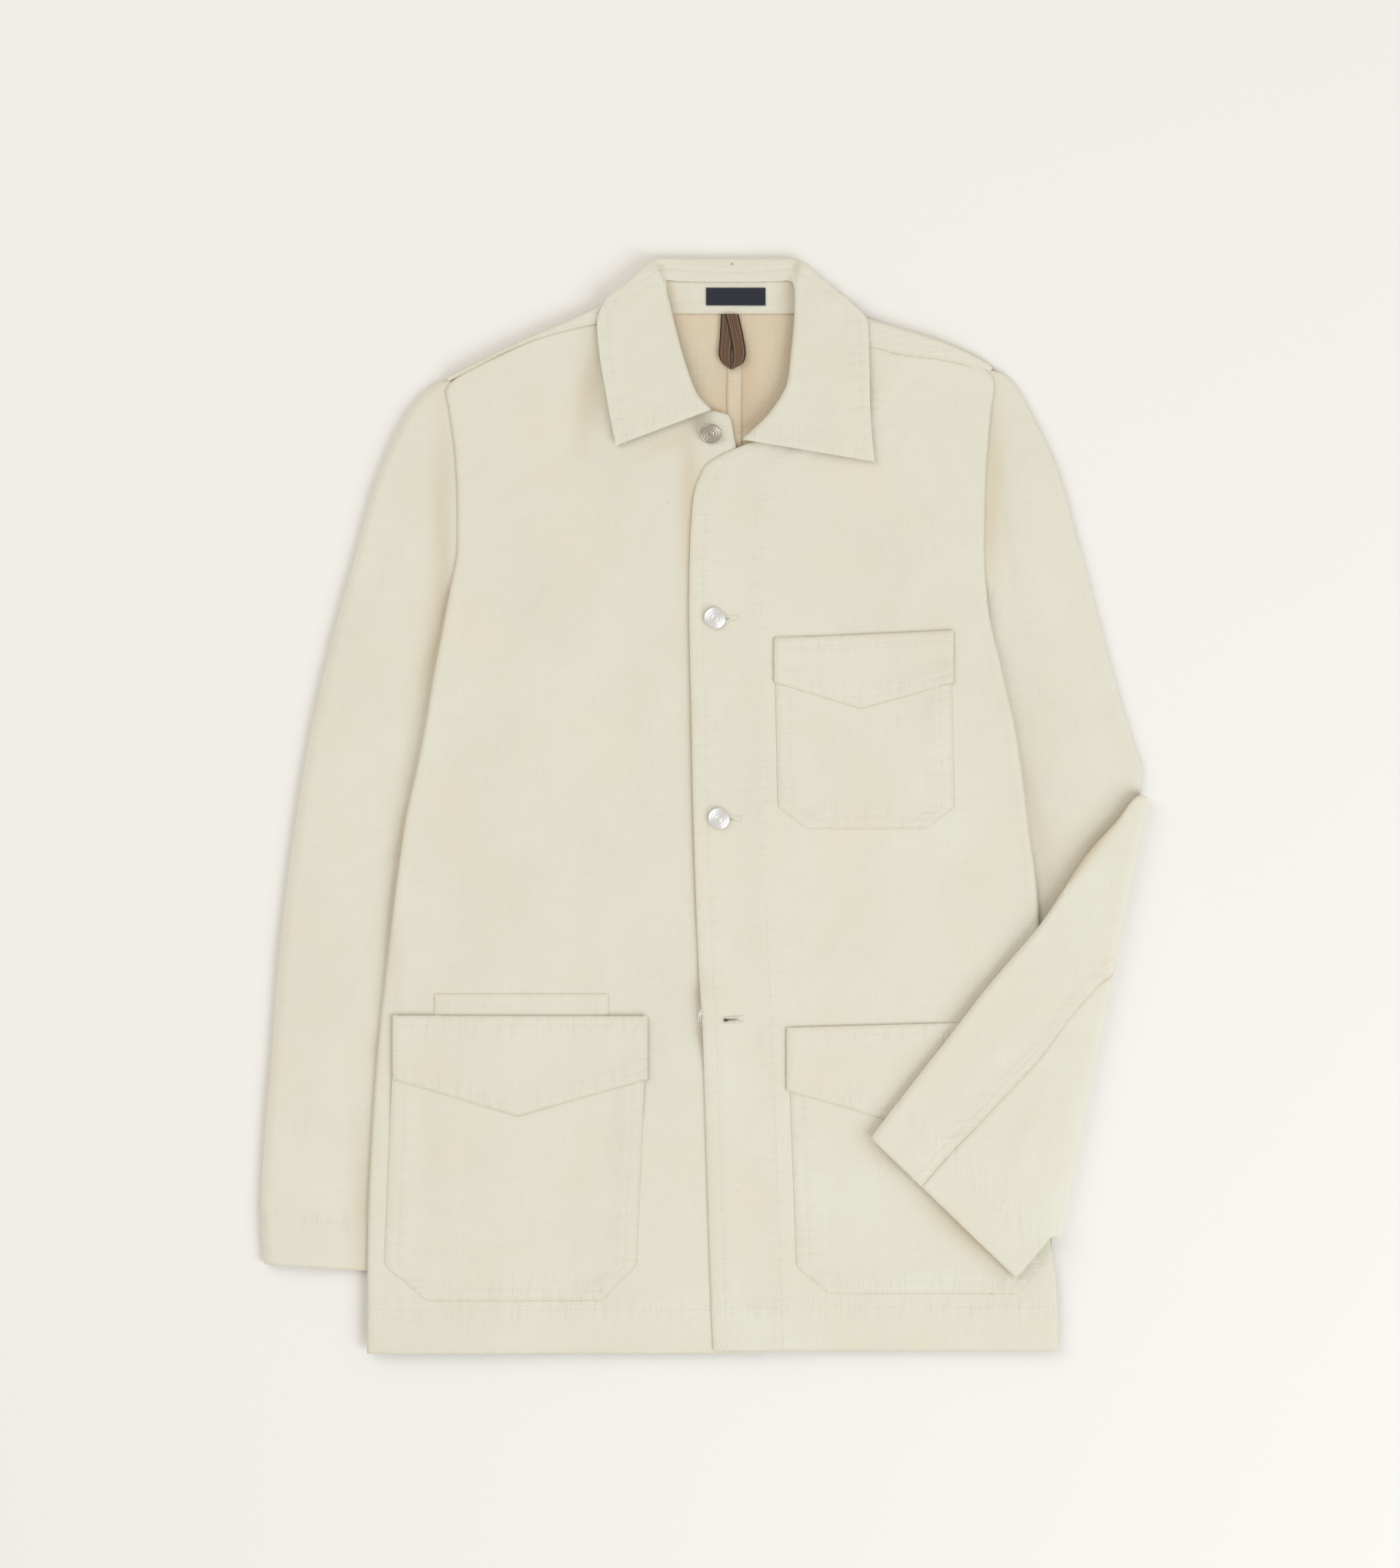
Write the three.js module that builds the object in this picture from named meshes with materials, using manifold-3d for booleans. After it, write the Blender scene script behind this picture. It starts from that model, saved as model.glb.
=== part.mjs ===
// A chore jacket in heavy cotton canvas, lying flat on its back with its front up.
// Millimetres, X to the viewer's right, Y towards the collar, Z up from the table.
import * as THREE from 'three';
import { mergeVertices } from 'three/addons/utils/BufferGeometryUtils.js';
import Module from 'manifold-3d';

const wasm = await Module();
wasm.setup();

// Cloth, and the steps between cloths that lie on each other
const WALL = 1.2;
const SEAM_GAP = 0.3;
const LAYER = WALL + SEAM_GAP;
const FLOOR = WALL / 2;
const TUBE = 2.4;
const SLEEVE_TOP = FLOOR + TUBE;
const BACK_LIFT = SLEEVE_TOP + LAYER - FLOOR;
const FRONT_EDGE = BACK_LIFT + FLOOR + LAYER;
const FRONT_LOFT = 1.2;
const FRONT_FLAT = FRONT_EDGE + FRONT_LOFT;
const EDGE_ROLL = 8;
const PUFF = 2.5;
const SAG = 0.4;

// Overall sizes
const HEM = -405;
const CENTRE = 21.5;
const SEAM_STRIP = 10.5;
const ARMPIT_HIGH = 170;
const ARMPIT_LOW = 128;
const ARMHOLE_LAP = 8;
const ARMPIT_LAP = 1.2;
const BUTTON_RADIUS = 8.1;
const BUTTON_HEIGHT = 3;
const BUTTON_ROOM = 4.2;
const LABEL = { x: 0.5, y: 370, width: 44, height: 13, thick: 0.5 };

const clamp01 = (v) => Math.min(1, Math.max(0, v));
const mix = (a, b, t) => a + (b - a) * t;
const smooth = (from, to, v) => {
  const t = clamp01((v - from) / (to - from));
  return t * t * (3 - 2 * t);
};

// A smooth curve through rows of named values: gives column `out` where column `by` is v
function curve(rows, by, out) {
  const at = rows.map((r) => r[by]);
  const val = rows.map((r) => r[out]);
  const slope = at.slice(1).map((a, i) => (val[i + 1] - val[i]) / (a - at[i]));
  const tangent = at.map((_, i) => {
    if (i === 0) return slope[0];
    if (i === at.length - 1) return slope[i - 1];
    return slope[i - 1] * slope[i] <= 0 ? 0 : 2 / (1 / slope[i - 1] + 1 / slope[i]);
  });
  return (v) => {
    let i = 0;
    while (i < at.length - 2 && v > at[i + 1]) i++;
    const h = at[i + 1] - at[i];
    const t = clamp01((v - at[i]) / h);
    const a = val[i] * (1 + 2 * t) * (1 - t) ** 2 + h * tangent[i] * t * (1 - t) ** 2;
    return a + val[i + 1] * t * t * (3 - 2 * t) + h * tangent[i + 1] * t * t * (t - 1);
  };
}

// Body outline: side seam below the armpit, armhole above it
const SIDE_LEFT = curve([
  { y: -406, x: -250 }, { y: -340, x: -250 }, { y: -250, x: -246.8 }, { y: -157, x: -240 },
  { y: -100, x: -233 }, { y: -25, x: -224 }, { y: 50, x: -208.4 }, { y: 100, x: -200 },
  { y: 150, x: -190.5 }, { y: 200, x: -183 }, { y: 245, x: -184 }, { y: 283, x: -188 }, { y: 316, x: -194 },
], 'y', 'x');
const SIDE_RIGHT = curve([
  { y: -406, x: 261 }, { y: -345, x: 259.5 }, { y: -316, x: 253.5 }, { y: -250, x: 250 }, { y: -157, x: 248.5 },
  { y: -88, x: 247 }, { y: -20, x: 239 }, { y: 50, x: 230 }, { y: 100, x: 219 },
  { y: 150, x: 208.5 }, { y: 200, x: 206 }, { y: 240, x: 207 }, { y: 270, x: 209 }, { y: 325, x: 215 },
], 'y', 'x');

// Top of the back: shoulder line, then the neckline under the collar
const SHOULDER = curve([
  { x: -196, y: 315.5 }, { x: -180, y: 323 }, { x: -160, y: 333 }, { x: -125, y: 349.5 },
  { x: -100, y: 360 }, { x: -80, y: 369 }, { x: -58, y: 378 }, { x: 100, y: 366.5 }, { x: 118, y: 361 },
  { x: 150, y: 352 }, { x: 175, y: 344 }, { x: 200, y: 333 }, { x: 216, y: 324 },
], 'x', 'y');
const NECKLINE = curve([
  { x: -58, y: 376 }, { x: -44, y: 371 }, { x: -28, y: 368 }, { x: 66, y: 368 },
  { x: 82, y: 369 }, { x: 96, y: 366 },
], 'x', 'y');
const SHOULDER_SEAM = curve([
  { x: -196, y: 310.5 }, { x: -150, y: 334 }, { x: -125, y: 344.5 }, { x: -105, y: 350 },
  { x: -80, y: 355 }, { x: -58, y: 361 }, { x: 100, y: 342.5 }, { x: 130, y: 337 }, { x: 150, y: 331.5 },
  { x: 170, y: 329 }, { x: 190, y: 325 }, { x: 200, y: 322 }, { x: 216, y: 314 },
], 'x', 'y');
const NECK_LEFT = -58;
const NECK_RIGHT = 98;

// Hidden inner edges of the sleeves, which lie under the body
const INNER_LEFT = curve([
  { y: -352, x: -179 }, { y: -275, x: -164 }, { y: -165, x: -142 }, { y: -45, x: -131 },
  { y: 10, x: -137 }, { y: 55, x: -152 }, { y: 98, x: -176 }, { y: 128, x: -195.5 },
], 'y', 'x');
const INNER_RIGHT = curve([
  { y: -322, x: 262 }, { y: -270, x: 240 }, { y: -200, x: 208 }, { y: -120, x: 178 },
  { y: -40, x: 160 }, { y: 20, x: 162 }, { y: 60, x: 176 }, { y: 98, x: 196 }, { y: 128, x: 214.2 },
], 'y', 'x');

const LEFT = { sign: -1, edge: SIDE_LEFT, inner: INNER_LEFT };
const RIGHT = { sign: 1, edge: SIDE_RIGHT, inner: INNER_RIGHT };

// Large soft folds: a line across the cloth, and how far it rises or sinks there
const FOLDS = [
  { x: -84, y: 306, angle: 95, length: 45, width: 20, rise: -1.0 },
  { x: -140, y: 215, angle: 60, length: 80, width: 34, rise: 1.0 },
  { x: -120, y: 40, angle: 75, length: 120, width: 48, rise: 1.0 },
  { x: 30, y: 200, angle: 92, length: 70, width: 34, rise: -0.7 },
  { x: 165, y: 220, angle: 115, length: 80, width: 34, rise: 1.0 },
  { x: 120, y: -80, angle: 80, length: 70, width: 46, rise: 0.8 },
];

function folds(x, y) {
  let z = 0;
  for (const f of FOLDS) {
    const a = THREE.MathUtils.degToRad(f.angle);
    const along = (x - f.x) * Math.cos(a) + (y - f.y) * Math.sin(a);
    const across = (y - f.y) * Math.cos(a) - (x - f.x) * Math.sin(a);
    z += f.rise * Math.exp(-((along / f.length) ** 2) - (across / f.width) ** 2);
  }
  return z;
}

// Middle height of the back: up over each sleeve, and up over the collar at the neck
function backHeight(x, y) {
  let z = FLOOR + LAYER * smooth(318, 350, y) * smooth(-122, -80, x) * smooth(157, 114, x);
  for (const side of [LEFT, RIGHT]) {
    const overSleeve = side.sign * (x - side.inner(y));
    z += BACK_LIFT * smooth(-76, -14, overSleeve) * smooth(160, ARMPIT_LOW, y);
  }
  return z;
}

// Middle height of the fronts: flat, rolling down to the side, armhole and shoulder edges
function frontHeight(x, y, edgeDistance) {
  const drop = 1 - Math.min(1, Math.max(0, edgeDistance) / EDGE_ROLL);
  const rest = Math.min(1, Math.max(0, edgeDistance) / 40);
  const sag = SAG * (BACK_LIFT + FLOOR - backHeight(x, y));
  return FRONT_EDGE + FRONT_LOFT * Math.sqrt(1 - drop * drop) + rest * (folds(x, y) - sag);
}
const BUTTON_FOUR = { x: 2.3, y: -156.5 };
function edgeDistance(x, y, side) {
  const toSide = side.sign * (side.edge(y) - x);
  const toShoulder = frontShoulder(x) - y;
  return Math.min(toSide, toShoulder);
}
const frontShoulder = (x) => Math.min(SHOULDER(x) - 3.4, SHOULDER_SEAM(x) + 4);
const frontRightHeight = (x, y) => frontHeight(x, y, edgeDistance(x, y, LEFT));
const overlapLift = (x) => LAYER * smooth(98, 48, x);
function frontLeftHeight(x, y) {
  const lap = overlapLift(x);
  const fromButton = Math.hypot(x - BUTTON_FOUR.x, y - BUTTON_FOUR.y);
  const overButton = BUTTON_ROOM * smooth(34, 12, fromButton);
  return frontHeight(x, y, edgeDistance(x, y, RIGHT)) + lap + overButton;
}

// Closed mesh from two skins of points that share their rims
function closedShell(topRows, bottomRows) {
  const m = topRows.length;
  const n = topRows[0].length;
  const positions = [...topRows.flat(), ...bottomRows.flat()].flatMap((p) => [p.x, p.y, p.z]);
  const index = [];
  const top = (i, j) => i * n + j;
  const low = (i, j) => m * n + i * n + j;
  const quad = (a, b, c, d) => index.push(a, b, c, a, c, d);
  for (let i = 0; i < m - 1; i++) {
    for (let j = 0; j < n - 1; j++) {
      quad(top(i, j), top(i, j + 1), top(i + 1, j + 1), top(i + 1, j));
      quad(low(i, j), low(i + 1, j), low(i + 1, j + 1), low(i, j + 1));
    }
  }
  for (let i = 0; i < m - 1; i++) {
    quad(top(i, 0), top(i + 1, 0), low(i + 1, 0), low(i, 0));
    quad(top(i, n - 1), low(i, n - 1), low(i + 1, n - 1), top(i + 1, n - 1));
  }
  for (let j = 0; j < n - 1; j++) {
    quad(top(0, j), low(0, j), low(0, j + 1), top(0, j + 1));
    quad(top(m - 1, j), top(m - 1, j + 1), low(m - 1, j + 1), low(m - 1, j));
  }
  const geometry = new THREE.BufferGeometry();
  geometry.setAttribute('position', new THREE.Float32BufferAttribute(positions, 3));
  geometry.setIndex(signedVolume(positions, index) < 0 ? flipped(index) : index);
  return geometry;
}

function signedVolume(p, index) {
  let sum = 0;
  for (let k = 0; k < index.length; k += 3) {
    const [a, b, c] = [0, 1, 2].map((s) => {
      const i = index[k + s] * 3;
      return new THREE.Vector3(p[i], p[i + 1], p[i + 2]);
    });
    sum += a.dot(b.cross(c));
  }
  return sum;
}

function flipped(index) {
  const out = [...index];
  for (let k = 0; k < out.length; k += 3) [out[k + 1], out[k + 2]] = [out[k + 2], out[k + 1]];
  return out;
}

// Cloth of one thickness laid round a grid of middle points
function cloth(rows, thick = WALL) {
  const m = rows.length;
  const n = rows[0].length;
  const skin = (offset) => rows.map((row, i) => row.map((p, j) => {
    const along = unit(rows[Math.min(i + 1, m - 1)][j], p).add(unit(p, rows[Math.max(i - 1, 0)][j]));
    const across = unit(row[Math.min(j + 1, n - 1)], p).add(unit(p, row[Math.max(j - 1, 0)]));
    return p.clone().addScaledVector(across.cross(along).normalize(), offset);
  }));
  return closedShell(skin(thick / 2), skin(-thick / 2));
}
const unit = (to, from) => to.clone().sub(from).normalize();

function solidOf(geometry) {
  const bare = new THREE.BufferGeometry();
  bare.setAttribute('position', geometry.getAttribute('position'));
  bare.setIndex(geometry.getIndex());
  const merged = mergeVertices(bare, 1e-4);
  return new wasm.Manifold(new wasm.Mesh({
    numProp: 3,
    vertProperties: new Float32Array(merged.getAttribute('position').array),
    triVerts: new Uint32Array(merged.getIndex().array),
  }));
}

function joined(...parts) {
  const mesh = parts.map(solidOf).reduce((a, b) => a.add(b)).getMesh();
  const geometry = new THREE.BufferGeometry();
  geometry.setAttribute('position', new THREE.Float32BufferAttribute(mesh.vertProperties, 3));
  geometry.setIndex([...mesh.triVerts]);
  return geometry;
}

const at = (x, y, z) => new THREE.Vector3(x, y, z);
const steps = (n) => Array.from({ length: n + 1 }, (_, i) => i / n);

// A half turn of cloth: from `low` up to `high`, bulging by `bulge` along `out`
function halfTurn(base, out, low, high, bulge, count = 5) {
  const middle = (low + high) / 2;
  const reach = (high - low) / 2;
  return steps(count).map((t) => {
    const a = Math.PI * t;
    return at(base.x + out.x * bulge * Math.sin(a), base.y + out.y * bulge * Math.sin(a), middle - reach * Math.cos(a));
  });
}
const bulgeFor = (low, high) => Math.min(4.5, ((high - low) / 2) ** 2 / 0.75);

// Back panels, with the shoulder rolled forward to its seam
const BACK_ROWS = [HEM, -330, -250, -170, -90, -30, 30, 80, 110, 128, 144, 160, 185, 215, 245, 270, 290, 304, 316];
const SHOULDER_BULGE = 1.9;
const TURN = SHOULDER_BULGE + WALL / 2;

function backPanel(side) {
  const { sign, edge } = side;
  const centre = CENTRE + sign * SEAM_GAP / 2;
  const corner = sign < 0 ? 316 : 325;
  const neck = sign < 0 ? NECK_LEFT : NECK_RIGHT;
  const topLine = (x) => (sign * (x - neck) > 0 ? SHOULDER(x) : NECKLINE(x)) - TURN;
  const panel = BACK_ROWS.map((row) => steps(10).map((u) => {
    const nominal = row <= 180 ? row : mix(180, corner, (row - 180) / (316 - 180));
    const x = mix(edge(nominal), centre, u);
    const lift = clamp01((nominal - 180) / (corner - 180));
    const y = nominal + (topLine(x) - corner) * lift;
    return at(x, y, backHeight(x, y));
  }));
  const xs = steps(7).map((t) => mix(edge(corner) - sign * 0.4, neck + sign * 2, t));
  const shoulder = xs.map((x) => {
    const out = shoulderNormal(x);
    const base = at(x, SHOULDER(x), 0).addScaledVector(out, -TURN);
    const low = backHeight(base.x, base.y);
    const inside = [4, 1.5].map((d) => base.clone().addScaledVector(out, -d).setZ(low));
    const high = FRONT_FLAT + LAYER;
    const width = (SHOULDER(x) - SHOULDER_SEAM(x)) * out.y - TURN;
    const over = [0.5, 1].map((t) => base.clone().addScaledVector(out, -width * t).setZ(high));
    return [...inside, ...halfTurn(base, out, low, high, SHOULDER_BULGE), ...over];
  });
  return joined(cloth(panel), cloth(shoulder));
}
function shoulderNormal(x) {
  const slope = (SHOULDER(x + 2) - SHOULDER(x - 2)) / 4;
  return at(-slope, 1, 0).normalize();
}

function seamStrip() {
  const ys = [HEM + 1, -250, -90, 80, 200, 260, 300, 318, 330, 340, 350, 363];
  return cloth(ys.map((y) => [-0.5, 0.5].map((s) => {
    const x = CENTRE + s * SEAM_STRIP;
    return at(x, y, backHeight(CENTRE, y) + LAYER);
  })));
}

// Fronts: each row runs from its side or shoulder edge to its centre or neck edge
const EDGE_STEPS = [0, 1, 2.5, 5, 9];
const SHOULDER_BY_HEIGHT = (from, to) => {
  const rows = steps(10).map((t) => {
    const x = mix(from, to, t);
    return { x, y: frontShoulder(x) };
  });
  return curve(rows, 'y', 'x');
};
const SHOULDER_X_LEFT = SHOULDER_BY_HEIGHT(-194, NECK_LEFT - 3);
const SHOULDER_X_RIGHT = SHOULDER_BY_HEIGHT(213, 104);

const RIGHT_CENTRE = curve([
  { y: HEM, x: 40 }, { y: -150, x: 30 }, { y: 150, x: 24 }, { y: 265, x: 23 }, { y: 280, x: 20 },
  { y: 289, x: 14 }, { y: 293, x: -8 }, { y: 300, x: -29 }, { y: 315, x: -42 }, { y: 340, x: -51 }, { y: 362, x: -55 },
], 'y', 'x');
const LEFT_CENTRE = curve([
  { y: HEM, x: 6 }, { y: -340, x: 3 }, { y: -216, x: -1.7 }, { y: -129, x: -5.8 }, { y: -13, x: -8.7 },
  { y: 74, x: -10.5 }, { y: 150, x: -12 }, { y: 200, x: -11 }, { y: 230, x: -8.5 }, { y: 243, x: -4 },
  { y: 251, x: 0 }, { y: 258, x: 10 }, { y: 265, x: 25 }, { y: 273, x: 45 }, { y: 282, x: 62 },
  { y: 300, x: 77 }, { y: 325, x: 87 }, { y: 344, x: 91 },
], 'y', 'x');

function frontPanel({ ys, outer, centre, height, columns }) {
  return cloth(ys.map((y) => {
    const from = outer(y);
    const to = centre(y);
    const width = to - from;
    const dir = Math.sign(width);
    const near = EDGE_STEPS.map((d) => from + dir * Math.min(d, Math.abs(width) * 0.06 * (1 + d) / 2));
    const rest = steps(columns).slice(1).map((t) => mix(near[near.length - 1], to, t));
    return [...near, ...rest].map((x) => at(x, y, height(x, y)));
  }));
}

const frontRight = () => frontPanel({
  ys: [HEM, -360, -300, -240, -180, -120, -60, -10, 30, 65, 100, 130, 160, 190, 230, 262, 278, 288, 296, 306, 320, 334, 346, 356, 361],
  outer: (y) => (y > 309.5 ? SHOULDER_X_LEFT(y) : SIDE_LEFT(y)),
  centre: RIGHT_CENTRE,
  height: frontRightHeight,
  columns: 11,
});
const frontLeft = () => frontPanel({
  ys: [HEM + 2, -360, -300, -240, -200, -180, -168, -156, -144, -130, -110, -60, -20, 10, 35, 60, 85, 110, 150, 190, 225, 243,
    252, 260, 270, 282, 296, 312, 322, 330, 338, 343],
  outer: (y) => (y > 314 ? SHOULDER_X_RIGHT(y) : SIDE_RIGHT(y)),
  centre: LEFT_CENTRE,
  height: frontLeftHeight,
  columns: 12,
});

// Sleeves: rows run from the outer edge to the inner edge, from armhole to cuff.
// seam is where the hind-arm seam crosses the row, as a share of its width.
const SLEEVE_RIGHT_ROWS = [
  { outX: -222, outY: 287, inX: -195.6, inY: 138, seam: 0.33 },
  { outX: -245, outY: 235, inX: -196.4, inY: 128, seam: 0.37 },
  { outX: -259, outY: 185, inX: -177, inY: 99, seam: 0.4 },
  { outX: -277, outY: 120, inX: -152, inY: 55, seam: 0.4 },
  { outX: -293, outY: 50, inX: -137, inY: 10, seam: 0.38 },
  { outX: -306, outY: -30, inX: -131, inY: -45, seam: 0.36 },
  { outX: -315.4, outY: -107, inX: -135, inY: -115, seam: 0.35 },
  { outX: -321, outY: -180, inX: -145, inY: -185, seam: 0.35 },
  { outX: -326, outY: -240, inX: -158, inY: -250, seam: 0.35 },
  { outX: -329, outY: -300, inX: -171, inY: -310, seam: 0.35 },
  { outX: -327, outY: -339, inX: -179, inY: -349, seam: 0.35 },
];
const SLEEVE_LEFT_ROWS = [
  { outX: 243, outY: 288, inX: 213.4, inY: 138, seam: 0.33 },
  { outX: 260, outY: 252, inX: 215, inY: 128, seam: 0.36 },
  { outX: 276, outY: 196, inX: 196, inY: 98, seam: 0.38 },
  { outX: 293.5, outY: 130, inX: 178, inY: 60, seam: 0.4 },
  { outX: 306.5, outY: 82, inX: 163, inY: 10, seam: 0.41 },
  { outX: 317, outY: 48, inX: 168, inY: -90, seam: 0.42 },
  { outX: 323, outY: 28, inX: 202, inY: -190, seam: 0.42 },
];
const FOLD_ROW = { outX: 321.5, outY: 8, inX: 256.5, inY: -318, seam: 0.42 };
const FLAP_ROWS = [
  { outX: 303, outY: -18, inX: 255, inY: -318, seam: 0.42 },
  { outX: 283, outY: -46, inX: 252, inY: -321, seam: 0.42 },
  { outX: 247, outY: -91, inX: 247, inY: -327, seam: 0.41 },
  { outX: 210, outY: -133, inX: 242, inY: -333, seam: 0.4 },
  { outX: 175, outY: -176, inX: 237, inY: -339, seam: 0.38 },
  { outX: 146, outY: -213, inX: 232, inY: -345, seam: 0.36 },
  { outX: 122, outY: -245, inX: 229, inY: -348, seam: 0.35 },
];
const FOLD_BULGE = 5.4;
const FLAP_LOW = { fold: 12.4, cuff: 11.9 };

// The first three rows follow the armhole: inside the body, at its edge, and just clear of it
function armholeRows(side) {
  const { sign, edge } = side;
  const top = sign < 0 ? 315 : 323;
  const rows = [
    { out: -ARMHOLE_LAP, topY: top - 4, lowY: 152 },
    { out: 1.6, topY: top - 4.6, lowY: 149 },
    { out: 10, topY: top - 6.5, lowY: 144 },
  ];
  return rows.map(({ out, topY, lowY }) => ({
    seam: 0.3,
    point: (u) => {
      const y = mix(topY, lowY, u);
      const open = smooth(ARMPIT_HIGH + 4, ARMPIT_HIGH + 26, y);
      const low = smooth(ARMPIT_HIGH + 18, lowY, y);
      const shift = out < 0 ? mix(ARMPIT_LAP, out, open) : mix(out, ARMPIT_LAP, low);
      return at(edge(y) + sign * shift, y, 0);
    },
  }));
}

const straightRow = (r) => ({
  seam: r.seam,
  point: (u) => at(mix(r.outX, r.inX, u), mix(r.outY, r.inY, u), 0),
});

// Heights of the sleeve's two walls at a place beside or under the body
function sleeveHeights(p, side) {
  const clear = side.sign * (p.x - side.edge(p.y));
  const inBody = smooth(154, ARMPIT_HIGH, p.y) * smooth(9, 2, clear);
  const low = FLOOR + LAYER * inBody;
  return { low, high: low + TUBE + PUFF * smooth(16, 44, clear) };
}

const TOP_STEPS = [0.04, 0.12, 0.22, 0.34, 0.47, 0.6, 0.74, 0.88, 1];
const UNDER_STEPS = [0, 0.3, 0.6, 0.76, 0.87, 0.95, 1];

// Middle points of one sleeve row, for its top piece or its under piece
function sleeveRow(row, side, piece) {
  const out = row.point(0);
  const inward = unit(row.point(1), out);
  const width = row.point(1).distanceTo(out);
  const end = sleeveHeights(out, side);
  const bulge = bulgeFor(end.low, end.high);
  const start = (bulge + WALL / 2) / width;
  const share = (s) => row.point(mix(start, 1, s));
  const withZ = (s, key) => {
    const p = share(s);
    return p.setZ(key === 'end' ? end.low : sleeveHeights(p, side)[key]);
  };
  const seam = (row.seam - start) / (1 - start);
  const gap = SEAM_GAP / 2 / width;
  if (piece === 'under') return UNDER_STEPS.map((t) => withZ(mix(seam + gap, 1, t), 'low'));
  const under = [1, 0.6, 0.2].map((t) => withZ((seam - gap) * t, 'low'));
  const turn = halfTurn(share(0), inward.clone().negate(), end.low, end.high, bulge);
  return [...under, ...turn, ...TOP_STEPS.map((s) => withZ(s, 'high'))];
}

function sleeveRight(piece) {
  const rows = [...armholeRows(LEFT), ...SLEEVE_RIGHT_ROWS.map(straightRow)];
  return cloth(rows.map((r) => sleeveRow(r, LEFT, piece)));
}

// The left sleeve turns up and over along its fold row, and its lower half lies on the front
function sleeveLeft(piece) {
  const fold = straightRow(FOLD_ROW);
  const before = [...armholeRows(RIGHT), ...SLEEVE_LEFT_ROWS.map(straightRow)];
  const grid = before.map((r) => sleeveRow(r, RIGHT, piece));
  const foldLine = foldedRow(fold, piece, 0);
  const outward = at(FOLD_ROW.outY - FOLD_ROW.inY, FOLD_ROW.inX - FOLD_ROW.outX, 0).normalize();
  const middle = (FLAP_LOW.fold + TUBE + FLOOR) / 2;
  for (const t of steps(6)) {
    const a = Math.PI * t;
    grid.push(foldLine.map((p) => {
      const reach = middle - p.z;
      const side = FOLD_BULGE * (reach / (middle - FLOOR)) * Math.sin(a);
      return p.clone().addScaledVector(outward, side).setZ(middle - reach * Math.cos(a));
    }));
  }
  FLAP_ROWS.forEach((r, i) => {
    const along = (i + 1) / FLAP_ROWS.length;
    const upper = mix(2 * middle - FLOOR, FLAP_LOW.cuff + TUBE, along);
    const puff = 2.2 * Math.sin(Math.PI * Math.min(1, along * 0.9));
    grid.push(foldedRow(straightRow(r), piece, puff).map((p) => p.setZ(upper + puff - (p.z - FLOOR))));
  });
  return cloth(grid);
}

// A row of the doubled sleeve with its walls a set step apart, its outer edge turned
function foldedRow(row, piece, puff) {
  const out = row.point(0);
  const inward = unit(row.point(1), out);
  const width = row.point(1).distanceTo(out);
  const high = FLOOR + TUBE + puff;
  const bulge = bulgeFor(FLOOR, high);
  const start = (bulge + WALL / 2) / width;
  const share = (s) => row.point(mix(start, 1, s));
  const seam = (row.seam - start) / (1 - start);
  const gap = SEAM_GAP / 2 / width;
  const close = (s) => smooth(1, 0.8, s);
  if (piece === 'under') {
    return UNDER_STEPS.map((t) => {
      const s = mix(seam + gap, 1, t);
      return share(s).setZ(FLOOR + puff * (1 - close(s)));
    });
  }
  const under = [1, 0.6, 0.2].map((t) => share((seam - gap) * t).setZ(FLOOR));
  const turn = halfTurn(share(0), inward.clone().negate(), FLOOR, high, bulge);
  return [...under, ...turn, ...TOP_STEPS.map((s) => share(s).setZ(high))];
}

// Collar stand, from the left of the picture round the back of the neck
const STAND_ROWS = [
  { neckX: -2, neckY: 284, rollX: 0, rollY: 291, on: 'right' },
  { neckX: -30, neckY: 291, rollX: -10, rollY: 306, on: 'right' },
  { neckX: -46, neckY: 313, rollX: -19, rollY: 330, on: 'right' },
  { neckX: -54, neckY: 335, rollX: -25, rollY: 350, on: 'right' },
  { neckX: -57, neckY: 351, rollX: -28, rollY: 368, on: 'right' },
  { neckX: -50, neckY: 363, rollX: -31, rollY: 383, z: 7.6 },
  { neckX: -38, neckY: 365, rollX: -29, rollY: 389, z: 4.4 },
  { neckX: -24, neckY: 364, rollX: -20, rollY: 390, z: 3.6 },
  { neckX: 20, neckY: 364, rollX: 20, rollY: 390.5, z: 3.6 },
  { neckX: 58, neckY: 364, rollX: 55, rollY: 391, z: 3.6 },
  { neckX: 74, neckY: 364, rollX: 65, rollY: 390, z: 4.4 },
  { neckX: 88, neckY: 359, rollX: 68, rollY: 383, z: 7 },
  { neckX: 95, neckY: 338, rollX: 68, rollY: 362, on: 'left' },
  { neckX: 91, neckY: 320, rollX: 66, rollY: 338, on: 'left' },
  { neckX: 82, neckY: 300, rollX: 62, rollY: 312, on: 'left' },
  { neckX: 68, neckY: 282, rollX: 52, rollY: 294, on: 'left' },
  { neckX: 50, neckY: 271, rollX: 36, rollY: 277, on: 'left' },
];
function standRow(r) {
  return steps(3).map((t) => {
    const x = mix(r.neckX, r.rollX, t);
    const onFront = FRONT_FLAT + LAYER + (r.on === 'left' ? overlapLift(x) : 0);
    return at(x, mix(r.neckY, r.rollY, t), r.z ?? onFront);
  });
}
const collarStand = () => cloth(STAND_ROWS.map(standRow));

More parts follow.
